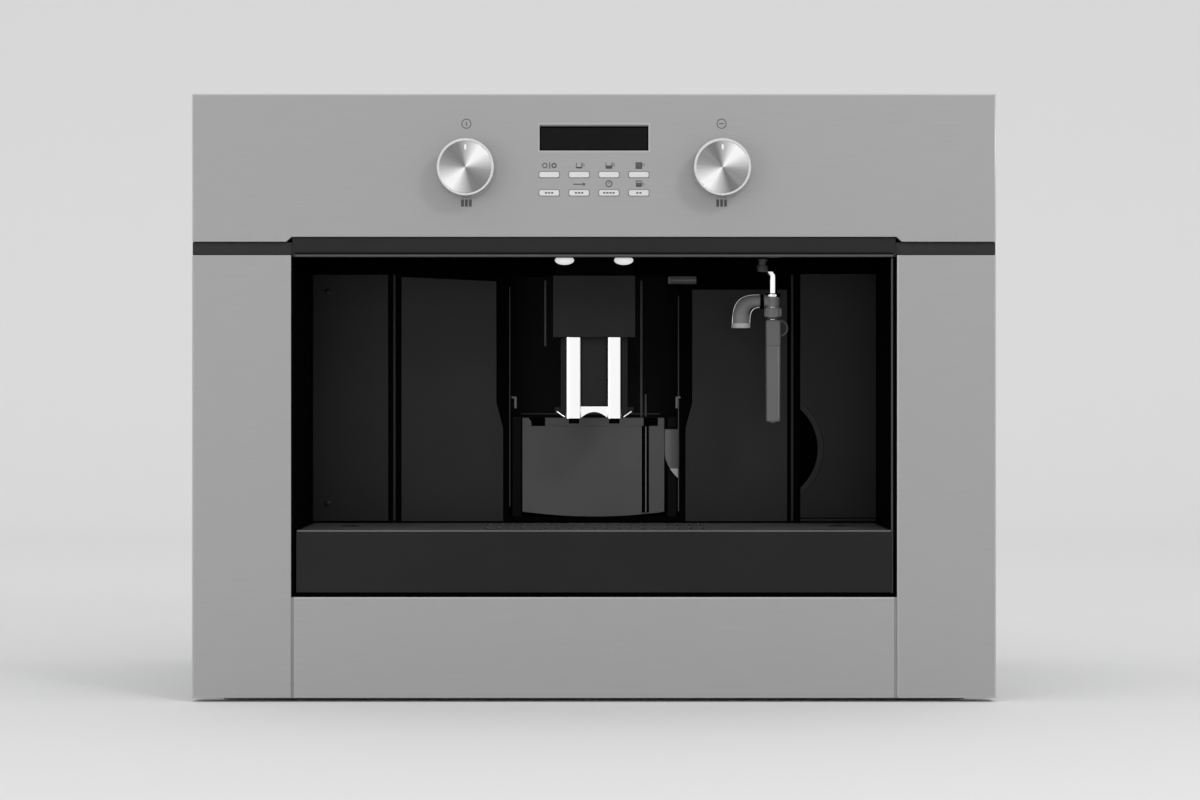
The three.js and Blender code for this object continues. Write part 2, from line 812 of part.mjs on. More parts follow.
function controlPanel() {
  const low = panelBottom - endDrop;
  const step = linerHalf + endSlant;
  const face = frontProfile([
    [-frontHalf, low], [-step, low], [-linerHalf, panelBottom], [linerHalf, panelBottom],
    [step, low], [frontHalf, low], [frontHalf, frontTop], [-frontHalf, frontTop],
  ], 0, frontDepth);
  const hollow = block(-frontHalf + skin, frontHalf - skin, skin, frontDepth + through,
    panelBottom + skin, frontTop - skin);
  const bosses = bossPlaces.map(([x, z]) =>
    rod('y', standoffRadius, skin / 2, boardY - seat, x, z, 12));
  const cuts = [block(-displayWidth / 2 - seat, displayWidth / 2 + seat, -through,
    skin + through,
    displayMiddle - displayHeight / 2 - seat, displayMiddle + displayHeight / 2 + seat)];
  for (const x of [-knobX, knobX]) {
    cuts.push(rod('y', knobShaft + slip, -through, skin + through, x, knobHeight, 20));
  }
  for (const [x, z] of buttonPlaces) {
    cuts.push(roundedBar(x, z, buttonWidth + 2 * seat, buttonHeight + 2 * seat, -through,
      skin + through));
  }
  return cut(join(cut(face, hollow), ...bosses), ...cuts);
}

piece('control_panel', controlPanel(), satinGrey);

function visor() {
  const middle = sideProfile([
    [linerSetback, visorBottom], [visorDepth, visorBottom], [visorDepth, visorTop],
    [visorSetback, visorTop], [visorSetback, visorBottom + visorLip],
    [linerSetback, visorBottom + visorLip],
  ], -linerHalf + slip, linerHalf - slip);
  const ends = block(-frontHalf, frontHalf, visorEndSetback, visorDepth,
    visorEndBottom, visorEndTop);
  return join(middle, ends);
}

piece('visor', visor(), darkTrim);

function sideTrim() {
  const face = block(trimInner, frontHalf, 0, frontDepth, floorGap, trimTop);
  const hollow = block(trimInner + skin, frontHalf - skin, skin, frontDepth + through,
    floorGap + skin, trimTop - skin);
  return cut(face, hollow);
}

piece('side_trim_right', sideTrim(), satinGrey);
piece('side_trim_left', mirrored(sideTrim()), satinGrey);

const lowerHalf = trimInner - lowerGap;
piece('lower_panel', cut(
  block(-lowerHalf, lowerHalf, 0, frontDepth, floorGap, lowerTop),
  block(-lowerHalf + skin, lowerHalf - skin, skin, frontDepth + through,
    floorGap + skin, lowerTop - skin),
), satinGrey);

// ---- recess liner: a moulded box with openings for the alcove, the tank and the spout
const outerPanelInner = recessHalf - outerPanelWidth;   // inner edge of the outer panels
const centreHalf = outerPanelInner - groove;
const tankOpenInner = outerPanelInner - seat;
const cassetteFloor = drawerBottom - seat;
const tankBack = backWall + seat + tankDepth;
const cassetteBack = tankBack + slip;
const alcoveTop = panelTop - alcoveTopGap;
const alcoveOuter = alcoveHalf + alcoveWall;
const alcoveBack = recessDepth + alcoveDepth;
const binBottom = drawerBottom + binLift;
const binTop = binBottom + binHeight;
const shelfTop = binBottom - seat;
const shelfBottom = shelfTop - alcoveWall;
const fingerX = outerPanelInner + fingerReach - fingerRadius;
const housingTop = visorBottom - housingLift;
const housingBottom = housingTop - housingHeight;
const housingHalf = housingWidth / 2;
const housingBack = housingFront + 2 * housingWall + spoutDepth + 2 * slip;
const neckHalf = housingHalf - neckInset;
const shaftTop = housingBottom + spoutHeld + spoutTravel + slip + housingWall;
const slotHalf = wandRadius + slotMargin;
const tabTop = panelTop - tabDrop;
const stemLeft = tabX + tabWidth - tabStemWidth - tabStemInset;
const stemRight = tabX + tabWidth - tabStemInset;

// hole for the release tab's stem
function tabOpening(y0, y1) {
  return block(stemLeft - seat, stemRight + seat, y0, y1, tabTop - tabHeight + tabStemEdge - seat,
    tabTop - tabStemEdge + seat);
}

function recessLiner() {
  const outer = block(-linerHalf, linerHalf, linerSetback, linerBack, linerBottom, ceilingTop);
  const inner = block(-recessHalf, recessHalf, -through, backWall, recessFloor, ceiling);
  const visorRoom = block(-linerHalf - through, linerHalf + through, -through,
    visorDepth + seat, visorBottom - seat, ceilingTop + through);
  const alcoveHole = block(-alcoveOuter - seat, alcoveOuter + seat, backWall - through,
    linerBack + through, shelfBottom - seat, alcoveTop + alcoveWall + seat);
  const tankHole = block(tankOpenInner, recessHalf, backWall - through, linerBack + through,
    cassetteFloor, panelTop + seat);
  const spoutHole = block(-neckHalf - seat, neckHalf + seat, housingFront + neckSetback - seat,
    housingBack + seat, ceiling - through, ceilingTop + through);
  const wandSlot = block(wandX - slotHalf, wandX + slotHalf, wandY - swingRoom,
    wandY + slotHalf, ceiling - through, ceilingTop + through);
  const lampHoles = [-lampSpread, lampSpread].map((x) =>
    rod('z', lampRadius + seat, ceiling - through, ceilingTop + through, x, lampY, 20));
  const tabHole = tabOpening(backWall - through, linerBack + through);
  const cassetteOuter = block(tankOpenInner - linerWall, linerHalf, linerBack - seat,
    cassetteBack + linerWall, cassetteFloor - linerWall, panelTop);
  const cassetteInner = block(tankOpenInner, recessHalf, backWall - through, cassetteBack,
    cassetteFloor, panelTop + through);
  const shell = cut(outer, inner, visorRoom);
  return cut(join(shell, cassetteOuter), cassetteInner, alcoveHole, tankHole, spoutHole,
    wandSlot, tabHole, ...lampHoles);
}

piece('recess_liner', recessLiner(), blackGloss);

piece('left_cover', block(-recessHalf + seat, -outerPanelInner, recessDepth, backWall - seat,
  panelBase, panelTop), darkPlastic);

// ---- centre moulding: two raised panels, the alcove between them and the bin's channel
const channelInner = binHalf + slip;
const channelOuter = channelInner + alcoveWall;
const channelTop = binTop + collarGap;
const channelBack = linerBack + binDepth;

function centrePanel() {
  const upperEdge = alcoveHalf + alcoveFrame;
  const lowerEdge = alcoveHalf + lowerFrame;
  const stepZ = binTop + collarGap + collarHeight - stepDrop;
  const outerTop = panelTop - edgeFall;
  const rightTop = panelTop - rightPanelDrop;
  const back = backWall - seat;
  const left = frontProfile([
    [-centreHalf, panelBase], [-lowerEdge, panelBase], [-lowerEdge, stepZ],
    [-upperEdge, stepZ + stepSlant], [-upperEdge, outerTop - leftPanelSlope],
    [-centreHalf, outerTop],
  ], recessDepth, back);
  const right = frontProfile([
    [lowerEdge, panelBase], [centreHalf, panelBase], [centreHalf, rightTop],
    [upperEdge, rightTop], [upperEdge, stepZ + stepSlant], [lowerEdge, stepZ],
  ], recessDepth, back);
  const frameFace = recessDepth + frameSetback;
  const frame = block(-upperEdge - frameReach, upperEdge + frameReach, frameFace, back,
    panelBase, panelTop);
  const alcove = block(-alcoveOuter, alcoveOuter, frameFace, alcoveBack + alcoveWall,
    shelfBottom, alcoveTop + alcoveWall);
  const room = block(-alcoveHalf, alcoveHalf, recessDepth - through, alcoveBack, shelfTop,
    alcoveTop);
  const channel = block(-channelOuter, channelOuter, alcoveBack, channelBack + alcoveWall,
    shelfBottom, channelTop);
  const channelRoom = block(-channelInner, channelInner, alcoveBack - through, channelBack,
    shelfTop, channelTop + through);
  const mouth = block(-channelInner, channelInner, alcoveBack - through,
    alcoveBack + alcoveWall + through, shelfTop, channelTop);
  const shell = cut(join(left, right, frame, alcove), room);
  return cut(join(shell, cut(channel, channelRoom)), mouth,
    tabOpening(recessDepth - through, backWall));
}

piece('centre_panel', centrePanel(), darkPlastic);

// ---- grounds container, its grip and the fixed collar over it
const binFront = recessDepth + binSetback;

// plan outline with a front that swells towards the user
function bowedPlan(half, front, bow, back) {
  const radius = (half * half + bow * bow) / (2 * bow);
  const spread = Math.asin(half / radius);
  const shape = new THREE.Shape();
  shape.moveTo(half, front).lineTo(half, back).lineTo(-half, back).lineTo(-half, front);
  shape.absarc(0, front - bow + radius, radius, 1.5 * Math.PI - spread,
    1.5 * Math.PI + spread, false);
  return shape;
}

function groundsBin() {
  const back = channelBack - slip;
  const outer = planProfile(bowedPlan(binHalf, binFront, binBow, back), binBottom, binTop);
  const inner = planProfile(bowedPlan(binHalf - binWall, binFront + binWall, binBow,
    back - binWall), binBottom + binWall + binSole, binTop + through);
  const sole = block(-binHalf - through, binHalf + through, binFront - binBow - through,
    back + through, binBottom - through, binBottom + binSole);
  const radius = (binHalf * binHalf + binSole * binSole) / (2 * binSole);
  const curve = rod('y', radius, binFront - binBow - through, back + through, 0,
    binBottom + radius, 220);
  const rounded = solid(sole).intersect(solid(curve));
  const upper = cut(outer, sole);
  return cut(join(upper, solid(outer).intersect(rounded)), inner);
}

piece('grounds_container', groundsBin(), greyPlastic);

function binGrip() {
  const x0 = binHalf + seat;
  const top = binTop - gripDrop;
  const shape = new THREE.Shape();
  shape.moveTo(x0, top).lineTo(x0 + gripWidth, top);
  shape.lineTo(x0 + gripWidth, top - gripHeight);
  shape.quadraticCurveTo(x0, top - gripHeight * 0.75, x0, top - gripHeight * 0.45);
  return frontProfile(shape, binFront, binFront + gripDepth, 6);
}

piece('container_grip', binGrip(), greyPlastic);

function chuteCollar() {
  const bottom = binTop + collarGap;
  const top = bottom + collarHeight;
  const plan = bowedPlan(binHalf, binFront, binBow, alcoveBack - seat);
  const ring = planProfile(plan, bottom, top);
  const chute = block(-binHalf + chuteRim, binHalf - chuteRim, binFront + chuteFrontRim,
    alcoveBack + through, bottom - through, top - chuteRoof);
  const front = binFront - binBow - through;
  const behind = binFront + chuteFrontRim / 2;
  const notch = rod('y', notchHalf, front, behind, notchX, top - notchDepth + notchHalf);
  const gap = block(collarGapX, collarGapX + collarGapWidth, front, behind,
    bottom - through, top + through);
  return cut(ring, chute, notch, gap);
}

piece('chute_collar', chuteCollar(), greyPlastic);

// ---- spout housing, with the shaft that the spout rises into
const slideFront = housingFront + housingWall;
const slideBack = slideFront + spoutDepth + 2 * slip;
const slideHalf = spoutHalf + slip;

function spoutHousing() {
  const shown = block(-housingHalf, housingHalf, housingFront, housingBack,
    housingBottom, housingTop);
  const neck = block(-neckHalf, neckHalf, housingFront + neckSetback, housingBack,
    housingTop - shaftOverlap, shaftTop);
  const arm = block(-housingHalf + armInset, housingHalf - armInset, housingBack - housingWall,
    alcoveBack - seat, housingTop - armDrop - armHeight, housingTop - armDrop);
  const shaft = block(-slideHalf, slideHalf, slideFront, slideBack,
    housingBottom - through, shaftTop - housingWall);
  const flange = block(-neckHalf - flangeReach, neckHalf + flangeReach,
    housingBack - flangeOverlap, housingBack + flangeReach,
    ceilingTop + seat, ceilingTop + seat + flangeThick);
  return cut(join(shown, neck, arm, flange), shaft);
}

piece('spout_housing', spoutHousing(), darkPlastic);

// ---- spout: body, chrome outlet pipes with their bridge
const spoutTop = housingBottom + spoutHeld;
const spoutBottom = housingBottom - spoutDrop;
const pipeY = slideFront + slip + pipeDepth / 2;
const spoutFace = pipeY - pipeDepth / 2 + pipeProud;
const nozzleTop = spoutBottom - pipeDrop + nozzleHeight;

function spoutBody() {
  const back = slideBack - slip;
  const outer = block(-spoutHalf, spoutHalf, spoutFace, back, spoutBottom, spoutTop);
  const hollow = block(-spoutHalf + spoutWall, spoutHalf - spoutWall, spoutFace + spoutHollow,
    back - spoutWall, spoutBottom - through, spoutTop - spoutWall);
  const grooves = [-pipeSpread, pipeSpread].map((x) =>
    roundedPost(x, pipeY, pipeWidth + 2 * seat, pipeDepth + 2 * seat, pipeCorner,
      spoutBottom - through, spoutTop + through));
  const bridgeRoom = block(-pipeSpread, pipeSpread, spoutFace - through,
    pipeY + bridgeDepth / 2 + seat, spoutBottom - through, spoutBottom + bridgeHeight + seat);
  const wings = [-1, 1].map((side) => {
    const tip = side * (spoutHalf + wingReach);
    const root = side * (spoutHalf - wingRoot);
    return block(Math.min(tip, root), Math.max(tip, root), spoutFace + wingSetback,
      spoutFace + wingSetback + wingDepth, spoutBottom, spoutBottom + wingHeight);
  });
  return cut(join(outer, ...wings), hollow, ...grooves, bridgeRoom);
}

piece('spout_body', spoutBody(), darkPlastic);

function spoutPipes() {
  const tip = spoutBottom - pipeDrop;
  const legs = [-pipeSpread, pipeSpread].map((x) =>
    roundedPost(x, pipeY, pipeWidth, pipeDepth, pipeCorner, nozzleTop, spoutTop));
  const nozzles = [-pipeSpread, pipeSpread].map((x) =>
    rod('z', nozzleRadius, tip, nozzleTop + through, x, pipeY, 24));
  const inner = pipeSpread - pipeWidth / 2 + seat;
  const low = nozzleTop + seat;
  const crown = low + archRise;
  const arch = new THREE.Shape();
  arch.moveTo(-pipeSpread, low).lineTo(-pipeSpread, spoutBottom + bridgeHeight);
  arch.lineTo(pipeSpread, spoutBottom + bridgeHeight).lineTo(pipeSpread, low);
  arch.lineTo(inner, low).quadraticCurveTo(inner / 2, crown, 0, crown);
  arch.quadraticCurveTo(-inner / 2, crown, -inner, low);
  const bridge = frontProfile(arch, pipeY - bridgeDepth / 2, pipeY + bridgeDepth / 2, 5);
  const bores = [-pipeSpread, pipeSpread].map((x) =>
    rod('z', pipeBore, tip - through, spoutTop + through, x, pipeY, 16));
  return cut(join(...legs, ...nozzles, bridge), ...bores);
}

piece('spout_pipes', spoutPipes(), chromed);

// ---- lamps and release tab
function lamp(x) {
  const bottom = ceiling - lampDrop;
  const flangeZ = ceilingTop + seat;
  const body = lampRadius - lampSeat;
  const dome = lampDome.map(([radius, height]) => [radius, bottom + height]);
  return turned([
    [0, bottom], ...dome, [lampRadius, ceiling], [lampRadius, flangeZ],
    [lampRadius + lampFlange, flangeZ], [lampRadius + lampFlange, flangeZ + lampFlangeThick],
    [body, flangeZ + lampFlangeThick], [body, flangeZ + lampBodyHeight],
    [0, flangeZ + lampBodyHeight],
  ], 24).translate(x, lampY, 0);
}

piece('lamp_left', lamp(-lampSpread), lampGlass);
piece('lamp_right', lamp(lampSpread), lampGlass);

function releaseTab() {
  const back = recessDepth + frameSetback - tabTravel - slip;
  const bar = roundedBar(tabX + tabWidth / 2, tabTop - tabHeight / 2, tabWidth, tabHeight,
    back - tabThick, back);
  const stem = block(stemLeft, stemRight, back - tabThick / 2, linerBack + tabStemReach,
    tabTop - tabHeight + tabStemEdge, tabTop - tabStemEdge);
  return join(bar, stem);
}

piece('release_tab', releaseTab(), greyPlastic);

// ---- drip tray, grille and float
const trayHalf = recessHalf - traySlip;
const trayBack = recessDepth - trayBackGap;
const basinHalf = trayHalf - trayWall - trayLedge;
const grilleHalf = trayHalf - trayWall - seat;
const grilleFront = trayFront + trayFrontWall;
const grilleBack = trayBack - trayWall;
const grilleBottom = trayTop - grilleThick;

function dripTray() {
  const outer = block(-trayHalf, trayHalf, trayFront, trayBack, trayBottom, trayTop);
  const rebate = block(-grilleHalf - seat, grilleHalf + seat, grilleFront - seat,
    grilleBack + seat, grilleBottom - seat, trayTop + through);
  const basin = block(-basinHalf, basinHalf, grilleFront + trayLedge, grilleBack - trayLedge,
    trayBottom + trayWall, trayTop);
  const nose = sideProfile([
    [trayFront - through, trayTop + through], [trayFront + noseDepth, trayTop + through],
    [trayFront + noseDepth, trayTop], [trayFront, trayTop - noseDepth],
    [trayFront - through, trayTop - noseDepth],
  ], -trayHalf - through, trayHalf + through);
  return cut(outer, rebate, basin, nose);
}

piece('drip_tray', dripTray(), darkTrim);

const grilleMiddle = (grilleFront + grilleBack) / 2;

function trayGrille() {
  const plate = block(-grilleHalf, grilleHalf, grilleFront, grilleBack, grilleBottom, trayTop);
  const cuts = [];
  for (let i = 0; i < slotCount; i += 1) {
    const x = (i - (slotCount - 1) / 2) * slotPitch;
    for (const side of [-1, 1]) {
      const near = grilleMiddle + side * slotRib / 2;
      const far = near + side * slotLength;
      cuts.push(block(x - slotWidth / 2, x + slotWidth / 2, Math.min(near, far),
        Math.max(near, far), grilleBottom - through, trayTop + through));
    }
  }
  for (const x of [-fingerHoleX, fingerHoleX]) {
    cuts.push(rod('z', fingerHoleRadius, grilleBottom - through, trayTop + through, x,
      grilleMiddle, 16));
  }
  cuts.push(rod('z', floatStem + slip, grilleBottom - through, trayTop + through, floatX,
    grilleMiddle, 16));
  return cut(plate, ...cuts);
}

piece('tray_grille', trayGrille(), darkTrim);

function trayFloat() {
  const bottom = trayBottom + trayWall + seat;
  return turned([
    [0, bottom], [floatRadius, bottom], [floatRadius, bottom + floatHeight],
    [floatStem, bottom + floatHeight + floatCone], [floatStem, trayTop - floatStemDrop],
    [0, trayTop - seat],
  ], 20).translate(floatX, grilleMiddle, 0);
}

piece('tray_float', trayFloat(), lampGlass);

// ---- water tank: open vessel behind a front with a finger recess
const tankInner = outerPanelInner + seat;
const tankOuter = recessHalf - slip;
const tankFrontBottom = drawerBottom;
const tankRim = panelTop - tankTopGap;

piece('tank_sill', block(outerPanelInner, recessHalf - seat, recessDepth, backWall - seat,
  panelBase, cassetteFloor - seat), darkPlastic);

function tankFront() {
  const plate = block(outerPanelInner, tankOuter, recessDepth, backWall, tankFrontBottom,
    panelTop);
  const rimRadius = fingerRadius + fingerRim;
  const rim = solid(rod('y', rimRadius, recessDepth - fingerRimRise, backWall - seat,
    fingerX, fingerZ, 96)).intersect(solid(block(outerPanelInner, tankOuter,
    recessDepth - fingerRimRise, backWall, tankFrontBottom, panelTop)));
  return cut(join(plate, rim), rod('y', fingerRadius, recessDepth - panelRise,
    backWall + through,
    fingerX, fingerZ, 80));
}

piece('tank_front', tankFront(), darkPlastic);

function waterTank() {
  const front = backWall + seat;
  const pocketX = fingerX + fingerRadius + tankWall;
  const outer = block(tankInner, tankOuter, front, tankBack, tankFrontBottom, tankRim);
  const inner = block(tankInner + tankWall, tankOuter - tankWall, front + tankWall,
    tankBack - tankWall, tankFrontBottom + tankWall, tankRim + through);
  const notch = (grow) => block(tankInner - through, pocketX + grow, front - through,
    front + fingerRoom + grow, fingerZ - fingerRadius - grow, fingerZ + fingerRadius + grow);
  return cut(cut(outer, notch(0)), cut(inner, notch(tankWall)));
}

piece('water_tank', waterTank(), clearTank);

// ---- knobs, display, buttons, control board
function knob(x) {
  const r = knobRadius;
  const face = -knobStandoff - knobLength;
  const shaftEnd = boardY - encoderDepth - seat;
  const dial = turned([
    [0, face + knobDish], [r - knobEdge - 2 * knobRim, face + knobDish],
    [r - knobEdge - knobRim, face], [r - knobEdge, face], [r, face + knobEdge],
    [r, -knobStandoff - knobFoot], [r - knobEdge, -knobStandoff], [knobShaft, -knobStandoff],
    [knobShaft, shaftEnd], [0, shaftEnd],
  ], 40, false);
  const pointer = rod('y', pointerRadius, face - through, face + pointerDepth, 0,
    pointerReach, 12);
  return solid(cut(dial, pointer)).translate([x, 0, knobHeight]);
}

piece('knob_left', knob(-knobX), turnedAluminium);
piece('knob_right', knob(knobX), turnedAluminium);

function displayWindow() {
  const back = displaySink + displayThick;
  const halfX = displayWidth / 2;
  const halfZ = displayHeight / 2;
  const pane = block(-halfX, halfX, displaySink, back, displayMiddle - halfZ,
    displayMiddle + halfZ);
  const flange = block(-halfX - displayFlange, halfX + displayFlange, skin + seat, back,
    displayMiddle - halfZ - displayFlange, displayMiddle + halfZ + displayFlange);
  return join(pane, flange);
}

piece('display_window', displayWindow(), blackGloss);

const switchFront = boardY - switchDepth;
const stemEnd = switchFront - buttonTravel - buttonSlack;

function button(x, z) {
  const cap = roundedBar(x, z, buttonWidth, buttonHeight, -buttonProud,
    skin + seat + buttonFlange);
  const flange = block(x - buttonWidth / 2 - buttonFlange, x + buttonWidth / 2 + buttonFlange,
    skin + seat, skin + seat + buttonFlange, z - buttonHeight / 2 - buttonFlange,
    z + buttonHeight / 2 + buttonFlange);
  const stem = block(x - stemSize / 2, x + stemSize / 2, skin + seat, stemEnd,
    z - stemSize / 2, z + stemSize / 2);
  return join(cap, flange, stem);
}

buttonPlaces.forEach(([x, z], i) => piece(`button_${i + 1}`, button(x, z), turnedAluminium));

function controlBoard() {
  const board = block(-boardHalf, boardHalf, boardY, boardY + boardThick,
    boardMiddle - boardHeight / 2, boardMiddle + boardHeight / 2);
  const inside = boardY + boardThick / 2;
  const encoders = [-knobX, knobX].map((x) => block(x - encoderSize / 2, x + encoderSize / 2,
    boardY - encoderDepth, inside, knobHeight - encoderSize / 2,
    knobHeight + encoderSize / 2));
  const switches = buttonPlaces.map(([x, z]) => block(x - switchSize / 2, x + switchSize / 2,
    switchFront, inside, z - switchSize / 2, z + switchSize / 2));
  const screenHalf = displayHeight / 2 - screenInset;
  const screen = block(-displayWidth / 2, displayWidth / 2, displaySink + displayThick + seat,
    inside, displayMiddle - screenHalf, displayMiddle + screenHalf);
  return join(board, ...encoders, ...switches, screen);
}

piece('control_board', controlBoard(), boardGreen);

// ---- steam wand: ball, bent pipe, nut, elbow handle and sleeve
const sleeveX = wandX + wandOffset;
const hubTop = ceiling - hubDrop;
const nutTop = hubTop - hubHeight - seat;
const nutBottom = nutTop - nutHeight;
const sleeveTop = nutBottom - sleeveGap;

function wandBall(radius) {
  return new THREE.SphereGeometry(radius, 20, 12).rotateX(Math.PI / 2)
    .translate(wandX, wandY, ballZ);
}

function wandPipe() {
  const bendTop = ceiling - wandBend;
  const bendBottom = bendTop - wandBendHeight;
  const pipe = bentRod([
    [wandX, wandY, ballZ], [wandX, wandY, bendTop + bendLead], [wandX, wandY, bendTop],
    [sleeveX, wandY, bendBottom], [sleeveX, wandY, bendBottom - bendLead],
    [sleeveX, wandY, hubTop - hubHeight], [sleeveX, wandY, sleeveTop - sleeveHeld],
  ], wandRadius, 24, 14);
  const nut = rod('z', nutRadius, nutBottom, nutTop, sleeveX, wandY, 24);
  return join(pipe, wandBall(ballRadius), nut);
}

piece('wand_pipe', wandPipe(), chromed);

function wandSocket() {
  const bottom = ceilingTop + seat;
  const half = ballRadius + socketWall;
  const outer = block(wandX - half, wandX + half, wandY - half - socketNose, wandY + half,
    bottom, ballZ + ballRadius + socketRoof);
  const slot = block(wandX - slotHalf, wandX + slotHalf, wandY - swingRoom,
    wandY + slotHalf, bottom - through, ballZ);
  const feed = rod('z', feedRadius, ballZ, ballZ + half, wandX, wandY, 12);
  return cut(outer, wandBall(ballRadius + seat), slot, feed);
}

piece('wand_socket', wandSocket(), innerGrey);

function wandHandle() {
  const middle = hubTop - hubHeight / 2;
  const hub = rod('z', hubRadius, hubTop - hubHeight, hubTop, sleeveX, wandY, 24);
  const arm = elbowTube(sleeveX - wandRadius, wandY, middle,
    elbowReach - wandRadius - elbowBend, elbowBend, elbowDrop, elbowRadius, mouthRadius);
  const mouthX = sleeveX - elbowReach;
  const mouthZ = middle - elbowDrop;
  const lip = rod('z', mouthLip, mouthZ, mouthZ + lipHeight, mouthX, wandY, 24);
  const bore = rod('z', wandRadius + seat, hubTop - 2 * hubHeight, hubTop + through, sleeveX,
    wandY, 24);
  return cut(join(hub, arm, lip), bore);
}

piece('wand_handle', wandHandle(), greyPlastic);

function wandSleeve() {
  const bottom = sleeveTop - sleeveLength;
  const tube = rod('z', sleeveRadius, bottom + sleeveTip, sleeveTop, sleeveX, wandY, 24);
  const tip = rod('z', sleeveRadius - sleeveTip / 2, bottom, bottom + 2 * sleeveTip, sleeveX,
    wandY, 24);
  const clip = rod('y', clipRadius, wandY - clipThick / 2, wandY + clipThick / 2,
    sleeveX + sleeveRadius - clipSink, sleeveTop - clipDrop - clipRadius, 16);
  const bore = rod('z', wandRadius + seat, sleeveTop - sleeveHeld - 2 * sleeveTip,
    sleeveTop + through, sleeveX, wandY, 20);
  const jet = rod('z', jetRadius, bottom - through, sleeveTop - sleeveHeld, sleeveX, wandY, 12);
  return cut(join(tube, tip, clip), bore, jet);
}

piece('wand_sleeve', wandSleeve(), greyPlastic);

// ---- inner pieces
function beanHopper() {
  const bottom = deckTop + seat;
  const knee = bottom + hopperFunnel;
  const halfX = hopperWidth / 2;
  const halfY = hopperLength / 2;
  const funnel = (inset, z0, z1) =>
    new THREE.CylinderGeometry((halfX - inset) / Math.SQRT1_2,
      (hopperMouth + hopperNeck - inset) / Math.SQRT1_2, z1 - z0, 4, 1).rotateY(Math.PI / 4)
      .rotateX(Math.PI / 2)
      .scale(1, (halfY - inset) / (halfX - inset), 1)
      .translate(hopperX, hopperY, (z0 + z1) / 2);
  const bin = block(hopperX - halfX, hopperX + halfX, hopperY - halfY, hopperY + halfY,
    knee, hopperTop);
  const room = block(hopperX - halfX + hopperWall, hopperX + halfX - hopperWall,
    hopperY - halfY + hopperWall, hopperY + halfY - hopperWall, knee, hopperTop + through);
  const rim = block(hopperX - halfX - hopperRimReach, hopperX + halfX + hopperRimReach,
    hopperY - halfY - hopperRimReach, hopperY + halfY + hopperRimReach,
    hopperTop - hopperRim, hopperTop);
  const mouth = rod('z', hopperMouth - hopperWall, bottom - through, knee, hopperX, hopperY);
  return cut(join(funnel(0, bottom, knee), bin, rim),
    funnel(hopperWall, bottom + funnelFloor, knee + seat), room, mouth);
}

piece('bean_hopper', beanHopper(), clearTank);

function grinder() {
  const top = deckBottom - seat;
  const bottom = top - grinderHeight;
  const [taper, rise] = grinderTaper;
  const foot = bottom + grinderFootHeight;
  const drum = turned([
    [0, bottom], [grinderFoot, bottom], [grinderFoot, foot],
    [grinderRadius - taper, foot + taper], [grinderRadius, foot + rise],
    [grinderRadius, top - grinderRim], [grinderRadius + grinderRim, top - grinderRim],
    [grinderRadius + grinderRim, top], [0, top],
  ], 32).translate(hopperX, hopperY, 0);
  const chute = block(hopperX + doseStart, -brewHalf - seat, hopperY - doseHalf,
    hopperY + doseHalf, bottom + doseFloor, foot);
  const throat = rod('z', hopperMouth - throatWall, top - throatDepth, top + through,
    hopperX, hopperY);
  return cut(join(drum, chute), throat);
}

piece('grinder', grinder(), innerGrey);

function brewUnit() {
  const bottom = channelTop + seat;
  const top = deckBottom - brewTopGap;
  const back = brewFront + brewDepth;
  const middle = (brewFront + back) / 2;
  const shoulder = top - brewShoulder;
  const foot = block(-channelOuter, channelOuter, brewFront, back, bottom, bottom + brewSill);
  const frameBlock = block(-brewHalf, brewHalf, brewFront + brewSill, back,
    bottom + brewSill / 2, shoulder);
  const chamber = rod('z', brewBore + brewWall, bottom + brewSill / 2,
    top - brewChamberDrop, 0, middle, 32);
  const yoke = block(-brewHalf + yokeInset, brewHalf - yokeInset, middle - yokeHalf,
    middle + yokeHalf, top - yokeHeight, top);
  const motor = rod('y', brewMotorRadius, brewFront + brewSill, back,
    -brewHalf + brewMotorInset, shoulder, 24);
  const bore = rod('z', brewBore, bottom - through, top - brewBoreDrop, 0, middle, 32);
  return cut(join(foot, frameBlock, chamber, yoke, motor), bore);
}

piece('brew_unit', brewUnit(), innerGrey);

function pump() {
  const bottom = panFloor + sheet + seat;
  const z = bottom + pumpFootRise + pumpRadius;
  const end = pumpX + pumpLength / 2;
  const coil = rod('x', pumpRadius, pumpX - pumpLength / 2, end, pumpY, z);
  const feet = [-pumpFootSpread, pumpFootSpread].map((dx) => block(pumpX + dx - pumpFootHalf,
    pumpX + dx + pumpFootHalf, pumpY - pumpFootDepth, pumpY + pumpFootDepth, bottom,
    z - pumpFootDrop));
  const port = rod('x', pumpPortRadius, end - through, end + pumpPortLength, pumpY, z, 16);
  return join(coil, ...feet, port);
}

piece('pump', pump(), innerGrey);

function thermoblock() {
  const top = deckBottom - seat;
  const left = brewHalf + heaterGap;
  const right = tankOpenInner - linerWall - heaterGap;
  const front = heaterY - heaterLength / 2;
  const back = heaterY + heaterLength / 2;
  const middle = (left + right) / 2;
  const core = block(left, right, front, back, top - heaterHeight, top - heaterPostHeight);
  const posts = [left + heaterPostInset, right - heaterPostInset].flatMap((x) =>
    [front + heaterPostInset, back - heaterPostInset].map((y) =>
      rod('z', heaterPost, top - heaterPostHeight - through, top, x, y, 12)));
  const ports = [-heaterPortX, heaterPortX].map((dx) => rod('y', heaterPost,
    front - heaterPortLength, front + through, middle + dx, top - heaterHeight / 2, 12));
  return join(core, ...posts, ...ports);
}

piece('thermoblock', thermoblock(), innerGrey);

function powerSupply() {
  const front = powerY - powerLength / 2;
  const back = powerY + powerLength / 2;
  const top = powerZ + powerHeight;
  const board = block(-deckHalf, -deckHalf + powerBoard, front, back, powerZ, top);
  const parts = block(-deckHalf + powerBoard / 2, -deckHalf + powerDepth,
    front + powerMargin, back - powerMargin, powerZ + powerMargin, top - powerMargin);
  return join(board, parts);
}

piece('power_board', powerSupply(), boardGreen);

